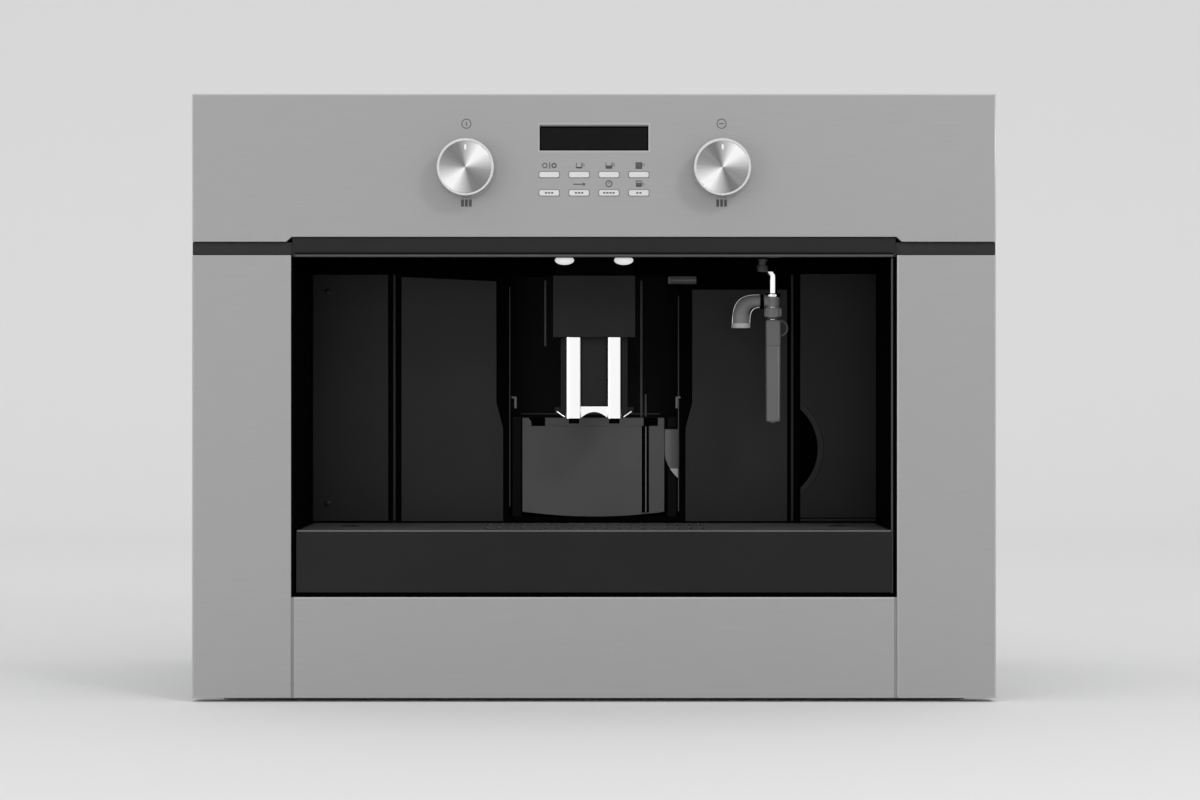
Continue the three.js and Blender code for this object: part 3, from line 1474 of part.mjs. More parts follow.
function powerInlet() {
  const face = casingDepth + seat;
  const front = casingDepth - inletDepth;
  const halfX = inletWidth / 2;
  const halfZ = inletHeight / 2;
  const shell = block(inletX - halfX, inletX + halfX, front, face + inletWall,
    inletZ - halfZ, inletZ + halfZ);
  const flange = block(inletX - halfX - inletFlange, inletX + halfX + inletFlange, face,
    face + inletWall, inletZ - halfZ - inletFlangeRise, inletZ + halfZ + inletFlangeRise);
  const socket = block(inletX - halfX + inletWall, inletX + halfX - inletWall,
    front + inletWall, face + inletWall + through, inletZ - halfZ + inletWall,
    inletZ + halfZ - inletWall);
  const [pinX, pinZ] = inletPinHalf;
  const pins = [[-inletPinPitch, 0], [0, inletPinRise], [inletPinPitch, 0]].map(([dx, dz]) =>
    block(inletX + dx - pinX, inletX + dx + pinX, front + inletWall / 2, face,
      inletZ + dz - pinZ, inletZ + dz + pinZ));
  return join(cut(join(shell, flange), socket), ...pins);
}

piece('power_inlet', powerInlet(), blackGloss);

// ---- the origin is the middle of the base plate's underside
const group = new THREE.Group();
body.position.y = -(baseFront + baseBack) / 2;
group.add(body);

export default group;
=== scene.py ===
"""Built-in coffee machine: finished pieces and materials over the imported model.

Sizes in the code are millimetres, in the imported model's own frame: X to the right, Y into the
niche, Z up from the niche floor, with the middle of the base plate at zero.
"""

import json
import math
from contextlib import contextmanager

import bmesh
import bpy
from bpy.props import FloatProperty, FloatVectorProperty, IntProperty, PointerProperty
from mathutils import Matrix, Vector

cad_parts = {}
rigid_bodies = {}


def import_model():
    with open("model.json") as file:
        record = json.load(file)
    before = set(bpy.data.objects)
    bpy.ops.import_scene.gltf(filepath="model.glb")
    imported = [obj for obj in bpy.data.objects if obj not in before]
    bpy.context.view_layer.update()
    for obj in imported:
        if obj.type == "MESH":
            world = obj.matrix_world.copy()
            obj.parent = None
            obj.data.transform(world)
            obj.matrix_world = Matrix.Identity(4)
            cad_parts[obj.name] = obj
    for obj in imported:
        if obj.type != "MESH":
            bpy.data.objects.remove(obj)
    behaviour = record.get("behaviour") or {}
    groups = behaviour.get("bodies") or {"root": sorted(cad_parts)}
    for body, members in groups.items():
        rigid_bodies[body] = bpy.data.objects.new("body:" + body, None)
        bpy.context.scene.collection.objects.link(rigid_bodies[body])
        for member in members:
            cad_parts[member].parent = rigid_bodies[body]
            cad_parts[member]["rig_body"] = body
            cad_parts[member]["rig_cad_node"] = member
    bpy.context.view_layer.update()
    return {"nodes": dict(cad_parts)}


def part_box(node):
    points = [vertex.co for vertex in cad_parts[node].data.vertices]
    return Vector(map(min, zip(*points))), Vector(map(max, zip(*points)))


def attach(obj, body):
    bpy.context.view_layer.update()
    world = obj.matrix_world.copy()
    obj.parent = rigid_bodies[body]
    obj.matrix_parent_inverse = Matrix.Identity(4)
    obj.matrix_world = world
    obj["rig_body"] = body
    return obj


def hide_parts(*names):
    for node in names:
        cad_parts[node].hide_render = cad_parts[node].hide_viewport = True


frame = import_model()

bl_info = {
    "name": "Built-in Coffee Machine",
    "version": (1, 0, 0),
    "blender": (4, 5, 0),
    "location": "View3D > Sidebar > Coffee Machine",
    "description": "Dresses the packed coffee machine with finished pieces and materials",
    "category": "Object",
}

MM = 0.001
SIDES = (("left", -1), ("right", 1))
UP, DOWN, BACK, FRONT = (0, 0, 1), (0, 0, -1), (0, 1, 0), (0, -1, 0)
RIGHT, LEFT = (1, 0, 0), (-1, 0, 0)
SAME_POINT = 0.01        # vertices closer than this are merged
HOSE_ROUNDNESS = 3
SCREW_RADIUS = 3.4
SMALL_SCREW = 2.4
KNOB_MARK = (12.8, 16.6)  # the pointer's ends above the knob's middle
LENS_RADIUS = 7.3        # of the lamps
COVER_SHEET = 1.2
LID_THICKNESS = 3
GRINDER_RADIUS = 42
GRINDER_TEETH = 24
PUMP_RADIUS = 22
PUMP_TURNS = 22
WIRE_PITCH = 1.6
HEATER_PORT = 14
WAND_X = 129             # of the wand's ball and cuff
BEND_DEPTH = 27.2        # the wand's bend ends this far below its ball's top
ARM_DROP = 5.6           # the air elbow's axis below the wand hub's top
CLIP_SPAN = (0.2, 12.8)  # the clip below the sleeve's top
STRETCH_LEFT = (-1.6, 0, 0)  # of the container and its collar
KEY_BARS = (0, 0, 0, 0, 3, 3, 4, 2)  # the dark bars printed on each key
# The fans on the knobs' faces are painted highlight and painted shade in their colour.
PAINTED_FAN_TURN = 1.278         # turns the fans of light on a knob's face
# The floor, its cove and the camera are in metres, the sensor in millimetres.
FLOOR_SIZE, FLOOR_MIDDLE, WALL_HEIGHT = (16, 8.5, 1), -1.75, 6
COVE_STEPS, COVE_STEP = 12, 0.13
CAMERA_X, CAMERA_Z, SENSOR_WIDTH = 0.00444, 0.2235, 36
# The painted highlight and painted shade of a fan, at their shares of half a turn.
PAINTED_FAN_SHADES = ((0.1, "fdfdfd"), (0.35, "a2a2a2"), (0.6, "6e6e6e"), (0.7, "757575"), (0.86, "bcbcbc"),
        (0.99, "fdfdfd"))


# --------------------------------------------------------------------------- modelling helpers

def corners(node):
    """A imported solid's lowest and highest corners, in millimetres."""
    low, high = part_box(node)
    return low / MM, high / MM


def clear_selection():
    """Leaves edit mode and deselects everything, because an operator acts on all selected."""
    if bpy.context.mode != "OBJECT":
        bpy.ops.object.mode_set(mode="OBJECT")
    bpy.ops.object.select_all(action="DESELECT")


def pick(piece):
    """Makes one object the only selected and the active one."""
    clear_selection()
    piece.select_set(True)
    bpy.context.view_layer.objects.active = piece
    return piece


@contextmanager
def editing(piece):
    """Edit mode on one piece, with everything selected."""
    pick(piece)
    bpy.ops.object.mode_set(mode="EDIT")
    bpy.ops.mesh.select_all(action="SELECT")
    yield
    bpy.ops.object.mode_set(mode="OBJECT")


def apply_place(piece):
    """Moves the object's place into its mesh."""
    pick(piece)
    bpy.ops.object.transform_apply(location=True, rotation=True, scale=True)
    return piece


def modify(piece, kind, **settings):
    """Adds a modifier with its settings and applies it."""
    pick(piece)
    bpy.ops.object.modifier_add(type=kind)
    modifier = piece.modifiers[-1]
    for name, value in settings.items():
        setattr(modifier, name, value)
    bpy.ops.object.modifier_apply(modifier=modifier.name)
    return piece


def soften(piece, width, segments=2, angle=30):
    """Rounds the edges sharper than an angle and shades the piece smooth between them."""
    modify(piece, "BEVEL", width=width * MM, segments=segments, limit_method="ANGLE",
           angle_limit=math.radians(angle), use_clamp_overlap=True, harden_normals=False)
    pick(piece)
    bpy.ops.object.shade_smooth_by_angle(angle=math.radians(max(angle, 50)))
    # Large flat faces keep their own normal, and only the narrow rounded edges turn.
    return modify(piece, "WEIGHTED_NORMAL", weight=100, keep_sharp=True)


def brick(low, high, width=0.0, segments=2):
    """A block between two corners, its edges rounded."""
    clear_selection()
    low, high = Vector(low) * MM, Vector(high) * MM
    bpy.ops.mesh.primitive_cube_add(size=1, location=(low + high) / 2, scale=high - low)
    piece = apply_place(bpy.context.object)
    return soften(piece, width, segments) if width else piece


def turned(centre, along, profile, sides=48, angle=35, ring=False):
    """A disc extruded and scaled along an axis, as on a lathe, from (radius, distance) pairs.

    With ring, the profile is closed, and what it encloses is a body with a hole.
    """
    clear_selection()
    centre, along = Vector(centre), Vector(along).normalized()
    if ring:
        profile = [*profile, profile[0]]
    radius, reach = profile[0]
    bpy.ops.mesh.primitive_circle_add(
        vertices=sides, radius=radius * MM, fill_type="NOTHING" if ring else "NGON",
        location=(centre + along * reach) * MM,
        rotation=along.to_track_quat("Z", "Y").to_euler())
    piece = apply_place(bpy.context.object)
    with editing(piece):
        for wide, far in profile[1:]:
            bpy.ops.mesh.extrude_region_move(
                TRANSFORM_OT_translate={"value": along * (far - reach) * MM})
            bpy.ops.transform.resize(value=(wide / radius,) * 3,
                                     center_override=(centre + along * far) * MM)
            radius, reach = wide, far
        bpy.ops.mesh.select_all(action="SELECT")
        if ring:
            bpy.ops.mesh.remove_doubles(threshold=0.2 * SAME_POINT * MM)
        bpy.ops.mesh.normals_make_consistent(inside=False)
    pick(piece)
    bpy.ops.object.shade_smooth_by_angle(angle=math.radians(angle))
    return piece


def joined(pieces):
    """Several shapes as one piece."""
    clear_selection()
    for piece in pieces:
        piece.select_set(True)
    bpy.context.view_layer.objects.active = pieces[0]
    bpy.ops.object.join()
    return bpy.context.object


def copied(piece, move):
    """A copy with its own mesh, moved by millimetres."""
    pick(piece)
    bpy.ops.object.duplicate(linked=False)
    copy = bpy.context.object
    copy.location = Vector(move) * MM
    return apply_place(copy)


def dressed_copy(node, width=0.0, segments=2, angle=30):
    """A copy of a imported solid, merged, with its edges rounded."""
    pick(frame["nodes"][node])
    bpy.ops.object.duplicate(linked=False)
    piece = bpy.context.object
    piece.parent = None
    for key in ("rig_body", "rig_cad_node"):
        if key in piece:
            del piece[key]
    with editing(piece):
        bpy.ops.mesh.remove_doubles(threshold=SAME_POINT * MM)
        bpy.ops.mesh.dissolve_limited(angle_limit=math.radians(0.3))
    if piece.data.has_custom_normals:
        bpy.ops.mesh.customdata_custom_splitnormals_clear()
    if width:
        return soften(piece, width, segments, angle)
    bpy.ops.object.shade_smooth_by_angle(angle=math.radians(angle))
    return piece


def select_vertices(piece, chosen):
    """In edit mode, selects the vertices whose place in millimetres passes a test."""
    mesh = bmesh.from_edit_mesh(piece.data)
    for part in (*mesh.faces, *mesh.edges, *mesh.verts):
        part.select_set(False)
    for vertex in mesh.verts:
        if chosen(vertex.co / MM):
            vertex.select_set(True)
    bmesh.update_edit_mesh(piece.data)


def tapered(low, high, chosen, scale, width=0.0, segments=2):
    """A block whose corners on one side are scaled about their middle, its edges rounded."""
    piece = brick(low, high)
    with editing(piece):
        select_vertices(piece, chosen)
        ends = [v.co for v in bmesh.from_edit_mesh(piece.data).verts if v.select]
        middle = sum(ends, Vector()) / len(ends)
        bpy.ops.transform.resize(value=scale, center_override=middle)
    return soften(piece, width, segments) if width else piece


def hose(start, lead, tail, end, radius):
    """A bent tube between two places, each with the handle that its curve leaves by."""
    clear_selection()
    bpy.ops.curve.primitive_bezier_curve_add(location=(0, 0, 0))
    piece = bpy.context.object
    points = piece.data.splines[0].bezier_points
    for point, place, before, after in ((points[0], start, start, lead),
                                        (points[1], end, tail, end)):
        point.handle_left_type = point.handle_right_type = "FREE"
        point.co = Vector(place) * MM
        point.handle_left = Vector(before) * MM
        point.handle_right = Vector(after) * MM
    piece.data.resolution_u = 16
    piece.data.bevel_depth = radius * MM
    piece.data.bevel_resolution = HOSE_ROUNDNESS
    piece.data.use_fill_caps = True
    bpy.ops.object.convert(target="MESH")
    bpy.ops.object.shade_smooth()
    return apply_place(bpy.context.object)


def carved(piece, cutter):
    """Takes one shape out of another."""
    modify(piece, "BOOLEAN", object=cutter, operation="DIFFERENCE", solver="EXACT")
    pick(cutter)
    bpy.ops.object.delete()
    return pick(piece)


def screw_head(centre, along, radius):
    """A pan head with a cross recess, turned on the axis that it looks along."""
    along = Vector(along)
    head = turned(centre, along, [
        (radius, -0.2), (radius, 0.7), (radius * 0.88, 1.4), (radius * 0.55, 1.9),
        (0.2, 2.0)], 20, 50)
    thin = Vector(1.0 if a else radius * 1.2 for a in along)
    for axis in range(3):
        if along[axis]:
            continue
        arm = Vector(thin)
        arm[axis] = 0.8
        arm[[i for i in range(3) if along[i]][0]] = 2.4
        middle = Vector(centre) + along * 1.9
        carved(head, brick(middle - arm / 2, middle + arm / 2))
    return head


def screw_row(name, places, along, radius=SCREW_RADIUS, body="machine"):
    """Like screws, modelled once and copied to their places."""
    first = screw_head(places[0], along, radius)
    others = [copied(first, Vector(place) - Vector(places[0])) for place in places[1:]]
    return settle(joined([first, *others]), name, "screw_steel", body)


def repeated(first, step, counts):
    """A shape and its copies at multiples of a step in millimetres, as one piece."""
    return joined([first, *(copied(first, Vector(step) * n) for n in counts)])


def refinish(piece, finish, chosen, facing=None):
    """Gives a second finish to faces, by a test of their middle in millimetres and their normal."""
    piece.data.materials.append(finishes[finish])
    last = len(piece.data.materials) - 1
    for face in piece.data.polygons:
        if chosen(face.center / MM) and (facing is None or facing(face.normal)):
            face.material_index = last
    return piece


def edged(piece, width, sides):
    """Bevels a steel panel's outer front edges on the named sides, and paints the bevel a lighter
    grey as a painted highlight.
    """
    piece.data.materials.clear()
    piece.data.materials.append(finishes["satin_steel"])
    places = [v.co / MM for v in piece.data.vertices]
    front = min(p.y for p in places)
    border = {"left": (0, min(p.x for p in places)), "right": (0, max(p.x for p in places)),
              "foot": (2, min(p.z for p in places)), "top": (2, max(p.z for p in places))}
    border = [border[side] for side in sides]
    pick(piece)
    bpy.ops.object.mode_set(mode="EDIT")
    bpy.ops.mesh.select_mode(type="EDGE")
    mesh = bmesh.from_edit_mesh(piece.data)
    for edge in mesh.edges:
        ends = [v.co / MM for v in edge.verts]
        edge.select_set(all(p.y < front + 0.05 for p in ends) and any(
            all(abs(p[axis] - line) < 0.05 for p in ends) for axis, line in border))
    bmesh.update_edit_mesh(piece.data)
    bpy.ops.mesh.bevel(offset=width * MM, segments=2, affect="EDGES", clamp_overlap=True)
    bpy.ops.mesh.select_mode(type="VERT")
    bpy.ops.object.mode_set(mode="OBJECT")
    soften(piece, 0.3, 2, 40)
    return refinish(piece, "steel_edge_highlight",
                    lambda at: at.y < front + width and any(
                        abs(at[axis] - line) < width for axis, line in border),
                    lambda normal: -0.99 < normal.y < -0.15)


def split_at_height(piece, height):
    """Cuts a piece's faces along a level plane, so that each side can have its own finish."""
    with editing(piece):
        bpy.ops.mesh.bisect(plane_co=(0, 0, height * MM), plane_no=UP)


def stretched(piece, chosen, move):
    """Moves the vertices that pass a test by millimetres."""
    with editing(piece):
        select_vertices(piece, chosen)
        bpy.ops.transform.translate(value=Vector(move) * MM)
    return piece


def block(name, low, high, width, finish, body="machine", segments=2):
    """A finished block between two corners."""
    return settle(brick(low, high, width, segments), name, finish, body)


def lathe(name, centre, along, profile, finish, body="machine", sides=48,
          angle=35, ring=False):
    """A finished turned shape."""
    return settle(turned(centre, along, profile, sides, angle, ring), name, finish, body)


def rounded(node, finish, width, segments=2, angle=30, body="machine"):
    """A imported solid's copy with its edges rounded, which stands for it."""
    return settle(dressed_copy(node, width, segments, angle), f"{node}_finished", finish,
                  body, [node])


def settle(piece, name, finish, body="machine", replaces=()):
    """Names a finished piece, gives it its finish and lets it ride on its body."""
    piece.name = name
    piece.data.name = name
    if finish:
        piece.data.materials.clear()
        piece.data.materials.append(finishes[finish])
    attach(piece, body)
    if replaces:
        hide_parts(*replaces)
    return piece


# --------------------------------------------------------------------------- material helpers

def linear(colour):
    """An sRGB hex colour as linear red, green, blue and alpha."""
    values = [int(colour[i:i + 2], 16) / 255 for i in (0, 2, 4)]
    return [v / 12.92 if v <= 0.04045 else ((v + 0.055) / 1.055) ** 2.4 for v in values] + [1.0]


def add_node(tree, kind, values=None, **settings):
    """Adds a node with its settings. A value that is another node's output is linked."""
    made = tree.nodes.new(kind)
    for name, value in settings.items():
        setattr(made, name, value)
    for name, value in (values or {}).items():
        if isinstance(value, bpy.types.NodeSocket):
            tree.links.new(value, made.inputs[name])
        else:
            made.inputs[name].default_value = value
    return made


def new_material(name, **sockets):
    """A material with one Principled shader, its constants set on the shader's own sockets."""
    material = bpy.data.materials.new(name)
    material.use_nodes = True
    tree = material.node_tree
    tree.nodes.clear()
    shader = add_node(tree, "ShaderNodeBsdfPrincipled", sockets)
    add_node(tree, "ShaderNodeOutputMaterial", {"Surface": shader.outputs["BSDF"]})
    return material, tree, shader


def surface_noise(tree, size, stretch=(1, 1, 1), detail=3.0, roughness=0.5):
    """Noise on Object coordinates with features of a size in millimetres, stretched by axis."""
    place = add_node(tree, "ShaderNodeTexCoord")
    scale = [1 / (size * MM * s) for s in stretch]
    spread = add_node(tree, "ShaderNodeMapping", {"Vector": place.outputs["Object"],
                                                  "Scale": scale})
    return add_node(tree, "ShaderNodeTexNoise",
                    {"Vector": spread.outputs["Vector"], "Scale": 1.0, "Detail": detail,
                     "Roughness": roughness}).outputs["Fac"]


def vary(tree, factor, low, high, start=0.35, end=0.65):
    """Spreads a pattern's middle range between two values."""
    return add_node(tree, "ShaderNodeMapRange",
                    {"Value": factor, "From Min": start, "From Max": end,
                     "To Min": low, "To Max": high}).outputs["Result"]


def blend_colours(tree, factor, one, two):
    """Mixes two sRGB hex colours by a pattern."""
    mix = add_node(tree, "ShaderNodeMix", data_type="RGBA")
    tree.links.new(factor, mix.inputs["Factor"])
    mix.inputs["A"].default_value = linear(one)
    mix.inputs["B"].default_value = linear(two)
    return mix.outputs["Result"]


def tint(tree, shader, pattern, one, two, start=0.35, end=0.65, socket="Base Color"):
    """Colours a shader between two sRGB hex colours by a pattern."""
    spread = vary(tree, pattern, 0, 1, start, end)
    tree.links.new(blend_colours(tree, spread, one, two), shader.inputs[socket])


def relief(tree, shader, height, depth):
    """Bump from a pattern, its full height in millimetres."""
    bump = add_node(tree, "ShaderNodeBump", {"Height": height, "Strength": 1.0,
                                             "Distance": depth * MM})
    tree.links.new(bump.outputs["Normal"], shader.inputs["Normal"])


def moulded(name, colour, lighter, rough, level, grain, depth):
    """Moulded plastic: a spark-eroded grain of a size in millimetres, and a slow mottle."""
    material, tree, shader = new_material(
        name, **{"Specular IOR Level": level, "IOR": 1.5})
    tint(tree, shader, surface_noise(tree, 60, detail=2), colour, lighter)
    texture = surface_noise(tree, grain, detail=2)
    tree.links.new(vary(tree, texture, rough - 0.04, rough + 0.04), shader.inputs["Roughness"])
    relief(tree, shader, texture, depth)
    return material


def brushed(name, colour, lighter, rough, metallic, stretch, line, depth):
    """Metal with brushing lines along the stretched axis, a width in millimetres."""
    material, tree, shader = new_material(name, Metallic=metallic)
    lines = surface_noise(tree, line, stretch, detail=4, roughness=0.6)
    tint(tree, shader, lines, colour, lighter)
    tree.links.new(vary(tree, lines, rough - 0.03, rough + 0.03), shader.inputs["Roughness"])
    relief(tree, shader, lines, depth)
    return material


# Each row: the material's name, two sRGB greys or colours, roughness, specular level, and the
# grain's size and depth in millimetres.
MOULDED = {
    "dark_lacquer": ("dark_lacquered_steel", "222222", "252525", 0.42, 0.15, 0.8, 0.003),
    "end_lacquer": ("dark_lacquered_steel_ends", "2f2f2f", "323232", 0.42, 0.15, 0.8, 0.003),
    "lip_lacquer": ("polished_dark_lacquer", "4c4c4c", "505050", 0.3, 0.2, 0.8, 0.002),
    # The recess is glossy black ABS, which drinks the light; its covers are anthracite.
    "black_abs": ("gloss_black_abs", "010101", "020202", 0.5, 0.01, 1.2, 0.002),
    # The near-black of black parts, which is also painted shade in the bay, on the spout's neck, on
    # the wand's bend and in the thin gaps round the knobs and the display.
    "black_and_shade": ("matt_black_abs_and_painted_shade", "020202", "030303", 0.7, 0.02, 1.0, 0.004),
    # Painted shade deep in the bay and in the strip over the visor's lip.
    "painted_shade_black": ("satin_black_abs", "060606", "080808", 0.6, 0.08, 1.0, 0.004),
    "cheek_black": ("satin_black_abs_cheek", "0e0e0e", "111111", 0.5, 0.12, 1.0, 0.004),
    "anthracite_abs": ("anthracite_abs", "1e1e1e", "212121", 0.36, 0.18, 0.9, 0.006),
    "side_abs": ("anthracite_abs_side", "1b1b1b", "1e1e1e", 0.36, 0.16, 0.9, 0.006),
    "arc_rim": ("anthracite_abs_rim", "121212", "151515", 0.4, 0.25, 0.8, 0.004),
    "housing_abs": ("charcoal_abs", "1b1b1b", "1f1f1f", 0.45, 0.12, 0.9, 0.006),
    "tray_abs": ("dark_grey_abs", "1f1f1f", "222222", 0.4, 0.12, 0.9, 0.005),
    "grille_abs": ("grille_abs", "4e4e4e", "565656", 0.5, 0.25, 0.9, 0.006),
    # A lighter grey that is a painted highlight on the drip tray's front edge.
    "tray_edge_highlight": ("grey_abs_painted_highlight", "565656", "5c5c5c", 0.3, 0.4, 0.9, 0.002),
    "float_abs": ("white_float_abs", "a8a8a8", "b0b0b0", 0.5, 0.3, 0.9, 0.004),
    "grey_abs": ("mid_grey_abs", "505050", "555555", 0.45, 0.3, 0.9, 0.006),
    "grip_grey_and_highlight": ("light_grey_abs_and_painted_highlight", "686868", "6e6e6e", 0.45, 0.3, 0.8, 0.005),
    # These two greys serve grey trims and seals, and also the painted highlight on the edges in the
    # bay.
    "grey_trim_and_highlight": ("grey_edge_trim_and_painted_highlight", "3c3c3c", "424242", 0.45, 0.3, 0.6, 0.002),
    "guide_grey_and_highlight": ("grey_guide_strip_and_painted_highlight", "4a4a4a", "505050", 0.45, 0.3, 0.6, 0.002),
    "bright_trim_and_highlight": ("light_grey_trim_and_painted_highlight", "6a6a6a", "707070", 0.4, 0.3, 0.6, 0.002),
    "gasket_grey": ("grey_silicone_gasket", "848484", "8a8a8a", 0.7, 0.2, 0.8, 0.006),
    "grip_rubber": ("grey_silicone_rubber", "666666", "6a6a6a", 0.7, 0.3, 0.7, 0.01),
    "nut_grey_and_highlight": ("grey_nylon_nut_and_painted_highlight", "767676", "7c7c7c", 0.5, 0.3, 0.6, 0.004),
    "elbow_abs": ("grey_glass_filled_nylon", "747474", "7a7a7a", 0.4, 0.35, 0.6, 0.006),
    "silver_paint": ("silver_painted_abs", "d2d2d2", "d8d8d8", 0.35, 0.4, 0.5, 0.003),
    "hairline_grey_and_highlight": ("light_grey_line_and_painted_highlight", "ababab", "b0b0b0", 0.45, 0.3, 0.5, 0.001),
    "smoked_acrylic": ("smoked_acrylic", "0f0f0f", "111111", 0.12, 0.08, 8, 0.001),
    "dark_ink": ("dark_screen_ink", "525252", "5a5a5a", 0.6, 0.2, 0.5, 0.001),
    "white_ink": ("white_filled_mark", "f0f0f0", "f8f8f8", 0.5, 0.3, 0.5, 0.001),
    "blank_label": ("matt_foil_label", "c9cacb", "d2d3d4", 0.5, 0.3, 1.2, 0.002),
    "rubber": ("black_nitrile_rubber", "161616", "1b1b1b", 0.75, 0.2, 0.8, 0.012),
    "hose": ("milky_silicone_hose", "b9b9b2", "c6c6bf", 0.45, 0.4, 2, 0.004),
    "works_nylon": ("glass_filled_nylon", "5a5c5e", "66686a", 0.55, 0.35, 0.7, 0.01),
    "solder_resist": ("green_solder_resist", "1f4d2e", "28603a", 0.4, 0.4, 1.5, 0.02),
    "chip_black": ("black_epoxy", "191919", "202020", 0.55, 0.3, 0.8, 0.008),
}

# Each row: the material's name, two sRGB colours, roughness, metallic, the stretch of the brushing
# lines by axis, and their width and depth in millimetres.
BRUSHED = {
    # Lacquered steel is an even mid grey with no mirror image; its folded edges carry a painted
    # highlight, a lighter grey on the bevel.
    "satin_steel": ("lacquered_satin_steel", "9c9c9c", "a0a0a0", 0.5, 0.3, (80, 1, 1), 0.5, 0.002),
    "steel_edge_highlight": ("steel_edge_painted_highlight", "b4b4b4", "bababa", 0.35, 0.3, (80, 1, 1), 0.5, 0.001),
    "chrome": ("chromed_brass", "f6f6f6", "fafafa", 0.07, 1.0, (1, 1, 30), 0.4, 0.0004),
    "tip_chrome": ("chromed_abs", "c4c4c4", "cccccc", 0.25, 1.0, (1, 1, 8), 0.5, 0.001),
    "turned_aluminium": ("turned_aluminium", "cfcfcf", "dadada", 0.26, 1.0, (1, 1, 1), 0.6, 0.002),
    "cast_alloy": ("die_cast_aluminium", "8f9092", "a0a1a3", 0.5, 1.0, (1, 1, 1), 1.2, 0.02),
    "screw_steel": ("zinc_plated_screw", "b0b2b4", "bcbec0", 0.35, 1.0, (1, 1, 1), 0.4, 0.004),
    "rail_steel": ("cold_rolled_rail_steel", "8e9093", "9a9c9f", 0.32, 1.0, (1, 60, 1), 0.5, 0.004),
    "copper": ("enamelled_copper", "8a4b2a", "9a5631", 0.4, 0.9, (1, 1, 1), 0.5, 0.006),
    "brass": ("turned_brass", "b08d4f", "bd9a5b", 0.3, 1.0, (1, 1, 1), 0.6, 0.004),
}


def make_materials():
    """Every finish of the machine, by a short name."""
    made = {finish: moulded(*values) for finish, values in MOULDED.items()}
    made.update({finish: brushed(*values) for finish, values in BRUSHED.items()})
    made["zinc_sheet"] = zinc_sheet()
    made["clear_san"] = clear_plastic()
    made["lamp_lens"] = lamp_lens()
    for side, _ in SIDES:
        low, high = corners(f"knob_{side}")
        made[f"spun_face_painted_fans_{side}"] = spun_face_painted_fans(f"spun_aluminium_painted_fans_{side}", (low + high) / 2)
    return made


def spun_face_painted_fans(name, centre):
    """Aluminium spun on a lathe, with two fans of painted highlight and two of painted shade round
    the axis in its colour.
    """
    material, tree, shader = new_material(name, Metallic=1.0, Anisotropic=0.9)
    place = add_node(tree, "ShaderNodeTexCoord")
    away = add_node(tree, "ShaderNodeVectorMath", {0: place.outputs["Object"]},
                    operation="SUBTRACT")
    away.inputs[1].default_value = Vector(centre) * MM
    level = add_node(tree, "ShaderNodeMapping", {"Vector": away.outputs["Vector"],
                                                 "Rotation": (math.radians(-90), 0, 0)})
    turn = add_node(tree, "ShaderNodeTexGradient", {"Vector": level.outputs["Vector"]},
                    gradient_type="RADIAL").outputs["Fac"]
    # Two fans of painted highlight and two of painted shade in the colour; each brightens fast and
    # fades slowly.
    fans = add_node(tree, "ShaderNodeMath", {0: turn, 1: -2.0, 2: PAINTED_FAN_TURN},
                    operation="MULTIPLY_ADD")
    part = add_node(tree, "ShaderNodeMath", {0: fans.outputs["Value"]}, operation="FRACT")
    rays = add_node(tree, "ShaderNodeTexNoise", {"W": turn, "Scale": 130.0, "Detail": 2.0},
                    noise_dimensions="1D")
    both = add_node(tree, "ShaderNodeMath", {0: rays.outputs["Fac"], 1: 0.05,
                                             2: part.outputs["Value"]}, operation="MULTIPLY_ADD")
    shades = add_node(tree, "ShaderNodeValToRGB", {"Fac": both.outputs["Value"]})
    steps = shades.color_ramp.elements
    steps[0].position, steps[0].color = PAINTED_FAN_SHADES[0][0], linear(PAINTED_FAN_SHADES[0][1])
    steps[1].position, steps[1].color = PAINTED_FAN_SHADES[-1][0], linear(PAINTED_FAN_SHADES[-1][1])
    for position, grey in PAINTED_FAN_SHADES[1:-1]:
        steps.new(position).color = linear(grey)
    tree.links.new(shades.outputs["Color"], shader.inputs["Base Color"])
    shader.inputs["Roughness"].default_value = 0.3
    tangent = add_node(tree, "ShaderNodeTangent", direction_type="RADIAL", axis="Y")
    tree.links.new(tangent.outputs["Tangent"], shader.inputs["Tangent"])
    return material


def zinc_sheet():
    """Zinc-plated steel sheet: crystals about 9 mm across differ a little in grey."""
    material, tree, shader = new_material("zinc_plated_sheet", Metallic=0.9)
    place = add_node(tree, "ShaderNodeTexCoord")
    cells = add_node(tree, "ShaderNodeTexVoronoi",
                     {"Vector": place.outputs["Object"], "Scale": 110.0})
    shade = add_node(tree, "ShaderNodeSeparateColor", {"Color": cells.outputs["Color"]})
    grey = shade.outputs["Red"]
    tint(tree, shader, grey, "a6a8aa", "b4b6b8", 0, 1)
    tree.links.new(vary(tree, grey, 0.4, 0.52, 0, 1), shader.inputs["Roughness"])
    relief(tree, shader, surface_noise(tree, 2.5, detail=3), 0.01)
    return material


def clear_plastic():
    """Clear styrene moulding: light passes, and its tint varies a little."""
    material, tree, shader = new_material(
        "clear_san_plastic", **{"Transmission Weight": 1.0, "IOR": 1.57, "Roughness": 0.06})
    tint(tree, shader, surface_noise(tree, 40), "dfe7ea", "eef3f5")
    return material


def lamp_lens():
    """Frosted polycarbonate over a lit diode."""
    material, tree, shader = new_material(
        "frosted_polycarbonate", **{"Roughness": 0.4, "Emission Strength": 0.55})
    shader.inputs["Base Color"].default_value = linear("c8c8c8")
    grain = surface_noise(tree, 0.8)
    tint(tree, shader, grain, "f0f0f0", "ffffff", socket="Emission Color")
    relief(tree, shader, grain, 0.01)
    return material


# --------------------------------------------------------------------------- the user's values

